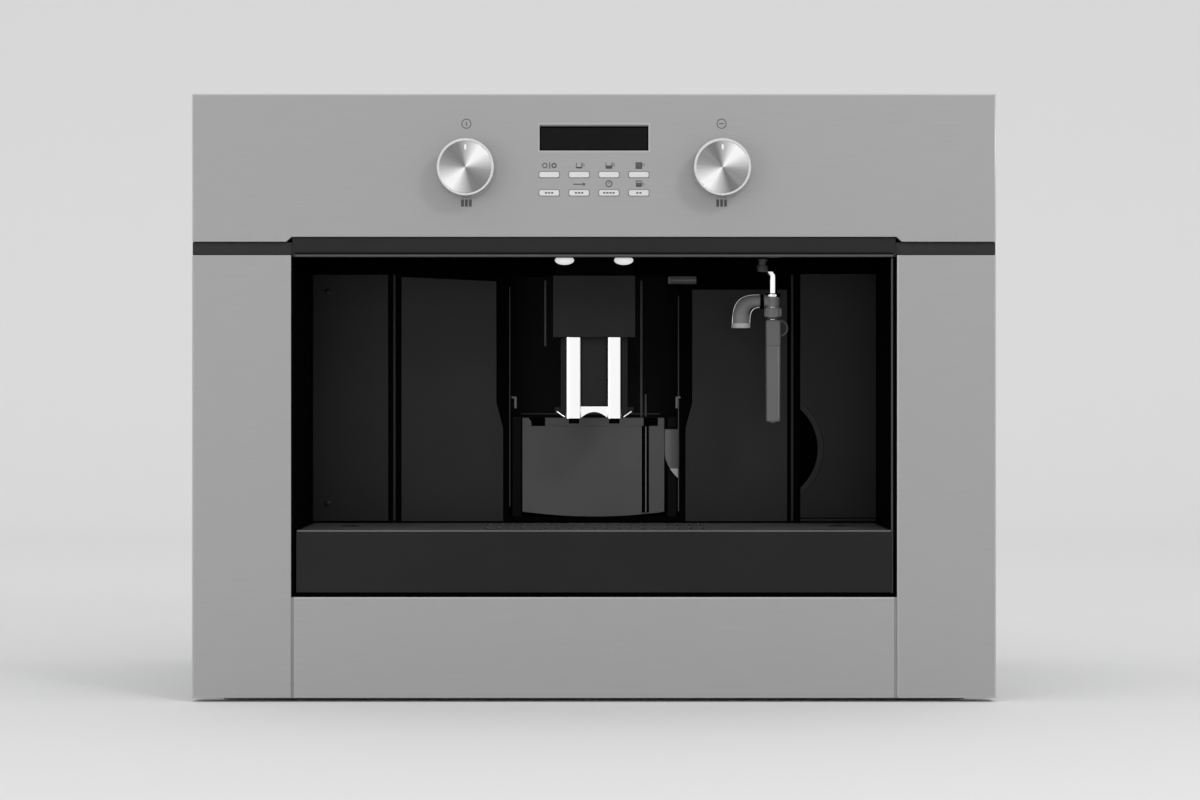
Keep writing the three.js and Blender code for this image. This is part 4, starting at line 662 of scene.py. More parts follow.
class MachinePanels(bpy.types.PropertyGroup):
    """Edges of the steel panels, the mouldings and the display's frame."""
    # The bevel's lighter grey is a painted highlight.
    edge: FloatProperty(name="Panel edge", description="Polished bevel of the steel panels",
                        default=0.001, unit="LENGTH", subtype="DISTANCE")
    moulding: FloatProperty(name="Moulding edge", description="Rounding of the recess covers",
                            default=0.0008, unit="LENGTH", subtype="DISTANCE")
    hairline: FloatProperty(name="Hairline", description="Width of the display's bright frame",
                            default=0.0012, unit="LENGTH", subtype="DISTANCE")


class MachineKnobs(bpy.types.PropertyGroup):
    """Sizes of the two knobs."""
    sides: IntProperty(name="Sides", description="Facets round a knob", default=96, min=24)
    rim: FloatProperty(name="Rim", description="Width of the polished rim", default=0.0012,
                       unit="LENGTH", subtype="DISTANCE")
    dish: FloatProperty(name="Dish", description="Depth of the dished face", default=0.0004,
                        unit="LENGTH", subtype="DISTANCE")


class MachineStage(bpy.types.PropertyGroup):
    """Light, floor and camera."""
    backdrop: FloatVectorProperty(name="Backdrop", description="Grey of floor and backdrop",
                                  subtype="COLOR", default=(0.8, 0.8, 0.8), min=0, max=1)
    daylight: FloatProperty(name="Daylight", description="Strength of the even light",
                            default=0.9, min=0)
    lens: FloatProperty(name="Lens", description="Focal length", default=95.7, unit="CAMERA")
    distance: FloatProperty(name="Distance", description="Camera to the front panels",
                            default=2.36, unit="LENGTH", subtype="DISTANCE")


finishes = {}


class MACHINE_OT_front_panels(bpy.types.Operator):
    """Round the edges of the steel panels and the dark visor"""
    bl_idname = "coffee_machine.front_panels"
    bl_label = "Front panels"

    def execute(self, context):
        edge = context.scene.machine_panels.edge / MM
        # The bevelled front edges of each steel panel carry a painted highlight.
        for node, sides in (("control_panel", ("left", "right", "top")),
                            ("side_trim_left", ("left", "foot")),
                            ("side_trim_right", ("left", "right", "foot")),
                            ("lower_panel", ("top", "foot"))):
            panel = edged(dressed_copy(node), edge, sides)
            settle(panel, f"{node}_finished", None, replaces=[node])
        visor = rounded("visor", "dark_lacquer", 0.4)
        low = corners("visor")[0]
        panel_low, panel_high = corners("lower_panel")
        half = (panel_high.x - panel_low.x) / 2
        refinish(visor, "end_lacquer", lambda at: abs(at.x) > half + 3)
        # The lip under the visor is polished, and a near-black strip over it is a painted shadow in
        # the groove above the lip.
        block("visor_lip", (-half + 1, low.y - 0.35, low.z + 0.2),
              (half - 1, low.y + 2, low.z + 1.9), 0.3, "lip_lacquer")
        block("visor_shadow_strip", (-half + 1, low.y - 0.08, low.z + 1.9),
              (half - 1, low.y + 2, low.z + 3.3), 0.05, "painted_shade_black", segments=1)
        # A grey seal runs along the foot and the right of the recess.
        near, far = panel_low.y + 2, panel_low.y + 6
        sill = brick((-half + 1, near, panel_high.z + 0.5), (half - 1, far, panel_high.z + 2.0),
                     0.3)
        post = brick((half - 2.2, near, panel_high.z + 2), (half - 0.8, far, low.z - 0.5), 0.3)
        settle(joined([sill, post]), "recess_seal", "guide_grey_and_highlight")
        # Soft gaskets close the joints between the steel panels, so no light comes through.
        joint = (corners("side_trim_right")[0].x + panel_high.x) / 2
        for side, sign in SIDES:
            x = sign * joint
            block(f"joint_gasket_{side}", (x - 0.85, panel_low.y + 0.25, panel_low.z + 0.2),
                  (x + 0.85, panel_low.y + 12, panel_high.z - 0.2), 0.2, "gasket_grey")
        return {"FINISHED"}


class MACHINE_OT_knobs(bpy.types.Operator):
    """Turn the two aluminium knobs, with a spun face painted with highlight fans and a filled
    pointer mark
    """
    bl_idname = "coffee_machine.knobs"
    bl_label = "Knobs"

    def execute(self, context):
        look = context.scene.machine_knobs
        rim, dish = look.rim / MM, look.dish / MM
        panel = corners("control_panel")[0].y
        for side, _ in SIDES:
            node = f"knob_{side}"
            low, high = corners(node)
            middle = (low + high) / 2
            radius, length = (high.x - low.x) / 2, panel - low.y
            centre = (middle.x, panel, middle.z)
            body = turned(centre, FRONT, [
                (radius - 1.6, 0.8), (radius - 0.5, 0.8), (radius, 1.4), (radius, length - 1.4),
                (radius - 0.35, length - 0.45), (radius - 0.9, length),
                (radius - 0.9 - rim, length), (radius - 1.3 - rim, length - dish)], look.sides)
            settle(body, f"{node}_body", "turned_aluminium", node, [node])
            lathe(f"{node}_face", centre, FRONT, [
                (radius - 1.3 - rim, length - 2), (radius - 1.3 - rim, length - dish),
                (radius - 1.5 - rim, length - dish + 0.1), (0.4, length - dish + 0.1)],
                f"spun_face_painted_fans_{side}", node, look.sides, 20)
            block(f"{node}_mark", (middle.x - 0.75, low.y + dish - 0.45, middle.z + KNOB_MARK[0]),
                  (middle.x + 0.75, low.y + dish + 1.5, middle.z + KNOB_MARK[1]), 0.3,
                  "white_ink", node)
            # The shaft runs in a black bush; the thin near-black ring on the panel is painted
            # shadow in the gap under the knob.
            lathe(f"{node}_shaft", centre, FRONT, [(3, -25), (3, 1.5)], "screw_steel",
                  node, 24)
            lathe(f"{node}_painted_shadow_ring", centre, FRONT, [
                (radius - 2.5, -0.4), (radius - 2.5, 0.35), (radius - 3, 0.6), (3.6, 0.6),
                (3.6, -0.4)], "black_and_shade", sides=look.sides, ring=True)
        return {"FINISHED"}


class MACHINE_OT_display(bpy.types.Operator):
    """Fit the smoked window with a painted highlight as its hairline frame, a painted shadow border
    inside it, deepest at the top, and a painted lit line along its top
    """
    bl_idname = "coffee_machine.display"
    bl_label = "Display"

    def execute(self, context):
        rounded("display_window", "smoked_acrylic", 0.3)
        low, high = corners("display_window")
        panel = corners("control_panel")[0].y
        edge = context.scene.machine_panels.hairline / MM
        low, high = low + Vector((2, 0, 2)), high - Vector((2, 0, 2))
        top = high.z + 0.35
        # The hairline is a painted highlight round the window, and the near-black border, deepest
        # at the top, a painted shadow inside it.
        for name, reach, thick, inner, drop, finish in (
                ("display_hairline_highlight", edge, 0.12, 0.1, 0, "hairline_grey_and_highlight"),
                ("display_shadow_border", -0.1, 0.05, 1.0, 2.4, "black_and_shade")):
            line = carved(brick((low.x - reach, panel - thick, low.z - reach),
                                (high.x + reach, panel + 0.4, top + reach)),
                          brick((low.x - 0.2 + inner, panel - 3, low.z + inner),
                                (high.x + 0.2 - inner, panel + 3, top - drop)))
            settle(soften(line, 0.04, 1), name, finish)
        # The light line along the top is painted light on the lit upper side of the window's
        # recess.
        block("display_top_highlight", (low.x + 0.1, panel - 0.08, high.z - 0.9),
              (high.x - 0.1, panel + 0.4, top), 0.1, "bright_trim_and_highlight")
        return {"FINISHED"}


class MACHINE_OT_keys(bpy.types.Operator):
    """Round the eight keys and print the lower row's marks, which are small dark bars"""
    bl_idname = "coffee_machine.keys"
    bl_label = "Keys"

    def execute(self, context):
        for n, count in enumerate(KEY_BARS, 1):
            node = f"button_{n}"
            rounded(node, "silver_paint", 0.35, 3, body=node)
            low, high = corners(node)
            middle = (low + high) / 2
            for i in range(count):
                x = middle.x + (i - (count - 1) / 2) * 2.3
                block(f"{node}_mark_{i + 1}", (x - 0.85, low.y - 0.06, middle.z - 0.6),
                      (x + 0.85, low.y + 0.3, middle.z + 0.6), 0.1, "dark_ink", node)
        return {"FINISHED"}


class MACHINE_OT_symbols(bpy.types.Operator):
    """Print the plain symbols by the knobs and over the keys"""
    bl_idname = "coffee_machine.symbols"
    bl_label = "Printed symbols"

    def execute(self, context):
        panel = corners("control_panel")[0].y
        thick = 0.08

        def bar(x, z, wide, high):
            return brick((x - wide / 2, panel - thick, z - high / 2),
                         (x + wide / 2, panel + 0.2, z + high / 2))

        def ring(x, z, outer, inner):
            return turned((x, panel, z), FRONT, [
                (outer, -0.2), (outer, thick), (inner, thick), (inner, -0.2)], 32, ring=True)

        def cup(x, z, wide, high, fill):
            base = z - high / 2
            return [bar(x, base + 0.25, wide * 0.7, 0.5),
                    bar(x - wide * 0.42, z, 0.5, high), bar(x + wide * 0.42, z, 0.5, high),
                    ring(x + wide * 0.42 + 1.0, z + high * 0.1, 1.1, 0.7),
                    bar(x, base + high * fill / 2, wide * 0.8, high * fill)]

        keys = [corners(f"button_{n}") for n in range(1, 9)]
        at = [((low.x + high.x) / 2, high.z + 3.7) for low, high in keys]
        x, z = at[0]
        marks = [ring(x - 3.2, z, 2.0, 1.3), bar(x + 0.4, z, 0.7, 4.6), ring(x + 3.6, z, 2.0, 1.0)]
        marks += cup(*at[1], 4.8, 4.2, 0.25)
        marks += cup(*at[2], 5.2, 4.6, 0.5)
        marks += cup(*at[3], 5.2, 4.8, 1.0)
        x, z = at[5]
        marks += [bar(x - 1.2, z - 0.4, 6.4, 0.8), ring(x + 3.4, z - 0.4, 1.1, 0.2)]
        x, z = at[6]
        marks += [ring(x, z, 2.6, 1.8), bar(x, z + 0.6, 0.6, 1.6)]
        x, z = at[7]
        marks += [*cup(x, z - 0.6, 4.4, 3.2, 0.9), bar(x, z + 2.0, 5.0, 0.7)]
        for node, wide, tall in (("knob_left", 0.7, 3.0), ("knob_right", 3.6, 0.7)):
            low, high = corners(node)
            x = (low.x + high.x) / 2
            marks += [ring(x, high.z + 12.0, 3.7, 3.1), bar(x, high.z + 12.0, wide, tall)]
            marks += [bar(x + i * 2.9, low.z - 3.7, 2.1, 5.4) for i in (-1, 0, 1)]
        settle(joined(marks), "printed_symbols", "dark_ink")
        return {"FINISHED"}


class MACHINE_OT_recess(bpy.types.Operator):
    """Round the mouldings of the recess and trim its bay with thin lines and clips"""
    bl_idname = "coffee_machine.recess"
    bl_label = "Recess"

    def execute(self, context):
        edge = context.scene.machine_panels.moulding / MM
        rounded("recess_liner", "black_abs", 0.4)
        rounded("left_cover", "side_abs", edge)
        rounded("tank_sill", "side_abs", 0.4)
        centre = rounded("centre_panel", "anthracite_abs", edge)
        low, high = corners("centre_panel")
        # Faces set back from the front are painted near-black, darker still at the sides and just
        # behind the front: painted shade in the bay.
        refinish(centre, "painted_shade_black", lambda at: at.y > low.y + edge + 0.1)
        refinish(centre, "black_and_shade", lambda at: at.y > low.y + edge + 0.1
                 and (abs(at.x) > 65.5 or at.y < low.y + 12))
        # The joints beside the outer covers are deep, with a thin rib standing in each.
        for side, x0, x1, off in (("left", corners("left_cover")[1].x, low.x, 0.4),
                                  ("right", high.x, corners("tank_front")[0].x, 1.2)):
            block(f"joint_fill_{side}", (x0 + 0.1, low.y + 1.6, low.z + 0.2),
                  (x1 - 0.1, low.y + 3.2, high.z - 1), 0.2, "black_and_shade")
            x = (x0 + x1) / 2 - off
            block(f"joint_rib_{side}", (x - 1.1, low.y + 0.4, low.z + 0.2),
                  (x + 1.1, low.y + 2.0, high.z - 1.2), 0.5, "anthracite_abs")
        # Grey strips along the bay: the guides of the sliding spout and the edges of its door,
        # their grey a painted highlight on those edges.
        inside = low.y + 30
        base, top = corners("chute_collar")[1].z + 0.6, high.z - 12
        for name, finish, x, y, z0, z1, wide in (
                ("bay_guide_left", "guide_grey_and_highlight", -38.9, inside, base + 56, top + 7, 1.6),
                ("bay_guide_right", "guide_grey_and_highlight", 37.2, inside, base, top + 7, 1.8),
                ("bay_stop_right", "guide_grey_and_highlight", 40.6, inside, base, base + 18, 1.5),
                ("bay_edge_highlight_left", "grey_trim_and_highlight", -66.3, low.y + 3, base - 70, top + 1, 0.7),
                ("bay_edge_highlight_right", "grey_trim_and_highlight", 66.0, low.y + 3, base - 74, top - 6, 0.9)):
            block(name, (x - wide / 2, y - 1.0, z0), (x + wide / 2, y + 0.4, z1), 0.2, finish)
        block("bay_seam", (-58, inside - 0.7, base + 2), (52, inside + 0.3, base + 2.8), 0.15,
              "grey_trim_and_highlight")
        z = base + 11.5
        for (side, sign), x in zip(SIDES, (-61.8, 64.6)):
            left, right = sorted((x, x + 3.0 * sign))
            clip = joined([
                brick((x - 1.0, low.y + 1.0, z - 4.6), (x + 1.0, low.y + 3.2, z + 4.6), 0.4),
                brick((left, low.y + 1.4, z + 3.2), (right, low.y + 3.0, z + 4.7), 0.3)])
            settle(clip, f"bay_clip_{side}", "bright_trim_and_highlight")
        # Plugs hide the screws of the left cover, which comes off for service.
        low, high = corners("left_cover")
        for name, z in (("low", low.z + 14), ("high", high.z - 14)):
            lathe(f"cover_plug_{name}", (low.x + 12, low.y, z), FRONT, [
                (2.6, -0.5), (2.6, 0.15), (2.2, 0.4), (0.3, 0.45)], "side_abs",
                sides=28)
        return {"FINISHED"}


class MACHINE_OT_spout(bpy.types.Operator):
    """Finish the spout: its housing, the slider, the two chrome legs and their nozzles"""
    bl_idname = "coffee_machine.spout"
    bl_label = "Spout"

    def execute(self, context):
        housing = rounded("spout_housing", "housing_abs", 0.4)
        low = corners("spout_housing")[0]
        # The neck above the housing and its faces far back are painted near-black: painted shade.
        refinish(housing, "black_and_shade", lambda at: at.z > low.z + 46.0 or at.y > low.y + 60)
        rounded("spout_body", "housing_abs", 0.5, body="spout")
        legs = rounded("spout_pipes", "chrome", 0.3, 2, 35, "spout")
        low, high = corners("spout_pipes")
        stretched(legs, lambda at: at.x < low.x + 1.2, (-0.9, 0, 0))
        refinish(legs, "black_and_shade", lambda at: at.z < low.z + 3.9)
        # A dark apron between the legs closes the slider's front.
        block("spout_apron", (-9.4, low.y + 6.2, low.z + 14), (9.4, low.y + 7.6, high.z - 2), 0.4,
              "housing_abs", body="spout")
        # Two fine rails of the slider stand beside each leg, and two bright springs at its foot.
        for side, sign in SIDES:
            rails = [brick((sign * x - wide, low.y + 4.4, low.z + 12),
                           (sign * x + wide, low.y + 6.4, high.z - 4), 0.3)
                     for x, wide in ((22.1, 0.9), (24.7, 0.6))]
            settle(joined(rails), f"spout_rail_{side}", "housing_abs", body="spout")
            first = Vector((sign * 22.4, low.y + 3.4, low.z + 5.0))
            reach = Vector((sign * 6.0, 0, 4.2))
            spring = hose(first, first + reach / 3, first + reach * 2 / 3, first + reach, 0.75)
            settle(spring, f"spout_spring_{side}", "chrome", "spout")
        return {"FINISHED"}


class MACHINE_OT_lamps(bpy.types.Operator):
    """Dome the lamps' lenses, set each in a dark ring, and give the release tab a lighter ridge and
    end ring, a painted highlight
    """
    bl_idname = "coffee_machine.lamps"
    bl_label = "Lamps and release tab"

    def execute(self, context):
        # The lens bulges like a pebble, widest at its middle height, on a narrow stem.
        dome = [(LENS_RADIUS * math.sqrt(1 - (t / 3.5) ** 2), 3.5 + t) for t in (
            -3.4, -3.1, -2.5, -1.6, -0.6, 0.6, 1.6, 2.5, 3.1)]
        for side, _ in SIDES:
            node = f"lamp_{side}"
            low, high = corners(node)
            middle = (low + high) / 2
            lens = turned((middle.x, middle.y, low.z), UP, [*dome, (3, high.z - low.z)], 48, 40)
            settle(lens, f"{node}_lens", "lamp_lens", replaces=[node])
            lathe(f"{node}_bezel", (middle.x, middle.y, corners("visor")[0].z + 2.7), DOWN, [
                (11.6, -0.3), (11.6, 0.3), (10.8, 0.9), (8.6, 0.9), (8.3, 0.4), (8.3, -0.3)],
                "black_and_shade", ring=True)
        rounded("release_tab", "guide_grey_and_highlight", 0.4, body="release_tab")
        low, high = corners("release_tab")
        # The lighter ridge along the tab's middle and the ring at its left end are a painted
        # highlight, as on a lit round bar.
        ridge = joined([
            brick((low.x + 1.6, low.y - 0.5, low.z + 2.0),
                  (high.x - 0.4, low.y + 1.5, high.z - 2.1), 0.5, 3),
            brick((low.x + 0.2, low.y - 0.9, low.z + 0.3),
                  (low.x + 2.0, low.y + 1.5, high.z - 0.3), 0.5, 3)])
        settle(ridge, "release_tab_highlight_ridge", "nut_grey_and_highlight", body="release_tab")
        return {"FINISHED"}


class MACHINE_OT_wand(bpy.types.Operator):
    """Finish the steam wand: bent chrome tube, nut, hub with its air elbow, and sleeve"""
    bl_idname = "coffee_machine.wand"
    bl_label = "Steam wand"

    def execute(self, context):
        low, high = corners("wand_pipe")
        hub_low, hub_high = corners("wand_handle")
        x = hub_high.x - 5
        y = (low.y + high.y) / 2
        bend = high.z - BEND_DEPTH
        pipe = dressed_copy("wand_pipe")
        split_at_height(pipe, bend)
        soften(pipe, 0.25, 2, 40)
        settle(pipe, "wand_pipe_finished", "chrome", "wand", ["wand_pipe"])
        nut_low, nut_high = corners("wand_sleeve")[1].z + 1.8, hub_high.z - 9.6
        refinish(pipe, "nut_grey_and_highlight", lambda at: nut_low < at.z < nut_high
                 and math.hypot(at.x - x, at.y - y) > 3.9)
        # The tube's bend lies in the dark and is painted near-black there: painted shade. A dull
        # washer fills the gap under the nut.
        refinish(pipe, "black_and_shade", lambda at: at.z > bend)
        lathe("wand_washer", (x, y, nut_low), DOWN, [
            (3.45, -0.2), (4.2, -0.2), (4.4, 0.1), (4.4, 1.3), (4.2, 1.6), (3.45, 1.6)],
            "guide_grey_and_highlight", body="wand", sides=32, ring=True)
        flutes = []
        for n in range(12):
            angle = math.radians(30 * n)
            at = Vector((x + 6.1 * math.cos(angle), y + 6.1 * math.sin(angle), 0))
            flutes.append(brick(at + Vector((-0.5, -0.5, nut_low + 1.2)),
                                at + Vector((0.5, 0.5, nut_high - 1.2)), 0.3))
        settle(joined(flutes), "wand_nut_ribs", "nut_grey_and_highlight", body="wand")
        rounded("wand_handle", "elbow_abs", 0.4, 2, 40, "wand")
        lathe("wand_hub_ring", (x, y, hub_high.z), DOWN, [
            (4.2, -0.8), (5.6, -0.8), (5.9, -0.3), (5.9, 1.4), (5.6, 1.9), (4.2, 1.9)],
            "chrome", "wand", 40, ring=True)
        # The air elbow plugs into the hub; a dark seal shows in its joint.
        arm = hub_high.z - ARM_DROP
        lathe("wand_elbow_seal", (x - 7.6, y, arm), LEFT, [
            (4.6, -0.6), (5.45, -0.3), (5.6, 0.2), (5.6, 1.6), (5.45, 2.1), (4.6, 2.4)],
            "black_and_shade", "wand", 40, ring=True)
        # Bright piping follows the elbow's outer and inner bend.
        left, foot = hub_low.x + 0.5, hub_low.z + 1
        start = Vector((x - 10.5, y - 1.5, arm + 5.3))
        outer = hose(start, start + Vector((-17, 0, 0.6)), (left, y - 1.5, arm - 1),
                     (left, y - 1.5, foot), 0.55)
        start = Vector((x - 10.5, y - 3.6, arm - 4.2))
        inner = hose(start, start + Vector((-7.5, 0, -0.4)),
                     (left + 13.4, y - 1.5, arm - 10), (left + 13.1, y - 1.5, foot), 0.5)
        settle(joined([outer, inner]), "wand_elbow_piping", "tip_chrome", "wand")
        elbow = (hub_low.x + 7, y, hub_low.z)
        lathe("wand_elbow_lip", elbow, DOWN, [
            (6.2, -3.4), (7.15, -3.2), (7.3, -0.4), (7.0, 0.25), (5.2, 0.3), (5.0, -0.5)],
            "hairline_grey_and_highlight", body="wand", sides=40, ring=True)
        lathe("wand_elbow_mouth", elbow, DOWN, [(5.1, -1.2), (5.1, 0.1), (0.4, 0.1)],
              "black_and_shade", body="wand", sides=40)
        # The cuff's bellows start low enough to clear the ceiling when the wand swings out; its
        # neck is thin, so that it passes through the ceiling's slot with the tube.
        ceiling = corners("recess_liner")[1].z
        rings = [(3.6, [(3.4, 0), (3.62, 0.1), (3.62, 5), (3.4, 5)]),
                 (8.4, [(3.45, 0), (4.3, 0), (4.5, 0.4), (4.5, 4.2), (4.2, 4.7), (3.45, 4.7)])]
        rings += [(8.8 + 1.5 * n, [(4.3, 0), (4.85, 0.25), (4.85, 0.75), (4.3, 1)])
                  for n in range(3)]
        cuff = [turned((WAND_X, y, ceiling - drop), DOWN, profile, 32, ring=True)
                for drop, profile in rings]
        settle(joined(cuff), "wand_cuff", "guide_grey_and_highlight", body="wand")
        # The sleeve is flat in front and behind, so that fingers hold it, with a bright side strip.
        low, high = corners("wand_sleeve")
        half = 5.6
        sleeve = tapered((x - half, low.y, low.z), (x + half, high.y, high.z),
                         lambda at: at.z < low.z + 1, (0.94, 0.94, 1), 1.7, 4)
        carved(sleeve, turned((x, y, low.z - 1), UP, [(3.4, 0), (3.4, high.z - low.z + 2)], 32))
        settle(sleeve, "wand_sleeve_finished", "grip_rubber", "wand_sleeve",
               ["wand_sleeve"])
        block("wand_sleeve_strip", (x + half - 2.3, low.y - 0.2, low.z + 3),
              (x + half - 1.1, low.y + 1.2, high.z - 20), 0.4, "nut_grey_and_highlight", body="wand_sleeve")
        block("wand_sleeve_seam", (x - half + 0.4, low.y - 0.06, high.z - 20.2),
              (x + half - 0.4, low.y + 1, high.z - 19.6), 0.1, "guide_grey_and_highlight", body="wand_sleeve")
        # Only the clip's outer half stands beside the sleeve.
        clip_high, clip_low = (high.z - drop for drop in CLIP_SPAN)
        for name, finish, profile, ring in (
                ("rim", "grey_trim_and_highlight", [(5.2, -2), (6.4, -2), (6.5, -1.6), (6.5, 1.6), (6.4, 2),
                                      (5.2, 2)], True),
                ("heart", "side_abs", [(5.3, -1.5), (5.3, 1.5), (0.3, 1.5)], False)):
            piece = turned((x + half - 0.6, y, (clip_low + clip_high) / 2), FRONT, profile, 40,
                           ring=ring)
            carved(piece, brick((x - 9, y - 9, clip_low - 9),
                                (x + half - 0.9, y + 9, clip_high + 9)))
            settle(piece, f"wand_clip_{name}", finish, body="wand_sleeve")
        lathe("wand_jet", (x, y, low.z), DOWN, [
            (3.5, -1), (3.5, 0.1), (3.0, 0.5), (1.5, 0.5), (1.5, -1)], "tip_chrome",
            "wand_sleeve", 32, ring=True)
        return {"FINISHED"}


class MACHINE_OT_grounds(bpy.types.Operator):
    """Groove the grounds container and give it its grip and chute collar"""
    bl_idname = "coffee_machine.grounds"
    bl_label = "Grounds container"

    def execute(self, context):
        ride = "grounds_container"
        low, high = corners(ride)
        body = dressed_copy(ride)
        stretched(body, lambda at: at.x < low.x + 1, STRETCH_LEFT)
        carved(body, brick((36.6, low.y - 3, low.z - 3), (43.0, low.y + 6.0, high.z + 3)))
        soften(body, 0.2)
        settle(body, "grounds_container_finished", "grey_abs", ride, [ride])
        # The container's front bevels at its sides and foot are painted light grey: a painted
        # highlight along those edges.
        refinish(body, "grip_grey_and_highlight", lambda at: at.y < low.y + 12,
                 lambda normal: normal.y < -0.3 and max(abs(normal.x), -normal.z) > 0.35)
        block("grounds_container_groove", (36.3, low.y + 5.2, low.z + 3.2),
              (43.3, low.y + 7.5, high.z - 0.1), 0.2, "black_and_shade", ride)
        ribs = [brick((x0, low.y + depth, low.z + 3.4), (x1, low.y + 6.0, high.z - 0.2), 0.2)
                for x0, x1, depth in ((40.0, 41.0, 3.8), (36.1, 37.2, 3.0))]
        settle(joined(ribs), "grounds_container_rib", "bright_trim_and_highlight", body=ride)
        # The grip's tip is bright: the moulding is cut across there and has a second finish below.
        split = corners("container_grip")[0].z + 8.0
        grip = dressed_copy("container_grip")
        split_at_height(grip, split)
        soften(grip, 0.5)
        settle(grip, "container_grip_finished", "grip_grey_and_highlight", ride,
               ["container_grip"])
        refinish(grip, "silver_paint", lambda at: at.z < split)
        # The collar carries on the container's front, with a dark notch near its left end.
        collar = dressed_copy("chute_collar")
        near, far = corners("chute_collar")
        stretched(collar, lambda at: at.x < near.x + 1, STRETCH_LEFT)
        # Its foot comes down to the container, so that the two fronts read as one.
        stretched(collar, lambda at: at.z < near.z + 0.1, (0, 0, high.z - near.z + 0.08))
        soften(collar, 0.1, 1)
        settle(collar, "chute_collar_finished", "grey_abs", replaces=["chute_collar"])
        refinish(collar, "black_and_shade", lambda at: near.y + 1.2 < at.y < near.y + 14
                 and (near.x + 3 < at.x < -36 or 40 < at.x < 50) and at.z < far.z,
                 lambda normal: normal.y < -0.3)
        # Cheeks beside the container close its bay to a narrow slot.
        for side, sign in SIDES:
            x0, x1 = sorted((sign * 57.6, sign * 65.2))
            block(f"bin_cheek_{side}", (x0, low.y + 17, low.z - 1), (x1, low.y + 21, far.z + 1),
                  0.4, "cheek_black")
        return {"FINISHED"}


class MACHINE_OT_tank(bpy.types.Operator):
    """Finish the water tank, its front plate and the dark cup of the finger recess"""
    bl_idname = "coffee_machine.tank"
    bl_label = "Water tank"

    def execute(self, context):
        ride = "water_tank"
        front = rounded("tank_front", "side_abs", 0.5, 2, 35, ride)
        face = corners("tank_front")[0].y
        refinish(front, "arc_rim", lambda at: at.y < face + 0.75)
        rounded(ride, "clear_san", 1.0, 3, body=ride)
        low, high = corners(ride)
        # The cup is the pocket behind the finger recess, moulded in black.
        cup = carved(brick((low.x + 0.2, low.y + 0.3, 149), (178.6, low.y + 15.6, 217)),
                     brick((low.x - 5, low.y - 3, 150.5), (177.2, low.y + 14.2, 215.5)))
        settle(soften(cup, 0.4, 1), "tank_finger_cup", "black_and_shade", ride)
        # A rim stiffens the tank's mouth, and a valve seat closes its foot at the back.
        rim = carved(brick((low.x, low.y + 2, high.z - 3), high),
                     brick((low.x + 2.3, low.y + 4.5, high.z - 9),
                           (high.x - 2.3, high.y - 2.3, high.z + 9)))
        settle(soften(rim, 0.5), "tank_rim", "clear_san", ride)
        lathe("tank_valve", (191, high.y - 18, low.z + 2.4), UP, [
            (9, 0), (9, 3), (7.5, 4), (6.5, 12), (5.5, 13.5), (2.2, 13.5), (2.2, 9)],
            "works_nylon", ride, 40)
        return {"FINISHED"}


class MACHINE_OT_drip_tray(bpy.types.Operator):
    """Finish the drip tray with a painted highlight along its front edge, the grille and the float
    """
    bl_idname = "coffee_machine.drip_tray"
    bl_label = "Drip tray"

    def execute(self, context):
        rounded("drip_tray", "tray_abs", 0.5, 3, body="drip_tray")
        low, high = corners("drip_tray")
        # A lighter strip along the tray's top front edge is a painted highlight.
        block("drip_tray_edge_highlight", (low.x + 0.6, low.y + 0.1, high.z - 1.9),
              (high.x - 0.6, low.y + 2.6, high.z - 0.1), 0.5, "tray_edge_highlight", body="drip_tray",
              segments=3)
        rounded("tray_grille", "grille_abs", 0.35, body="tray_grille")
        rounded("tray_float", "float_abs", 0.6, 3, body="tray_float")
        low, high = corners("tray_grille")
        for n, x in enumerate((-186, 186), 1):
            lathe(f"grille_eyelet_{n}", (x, (low.y + high.y) / 2, high.z), UP, [
                (5.9, -2.4), (5.9, 0.1), (6.6, 0.35), (7.2, 0.3), (7.5, 0), (7.3, -0.4),
                (6.2, -2.6)], "tray_abs", body="tray_grille", sides=40, ring=True)
        return {"FINISHED"}


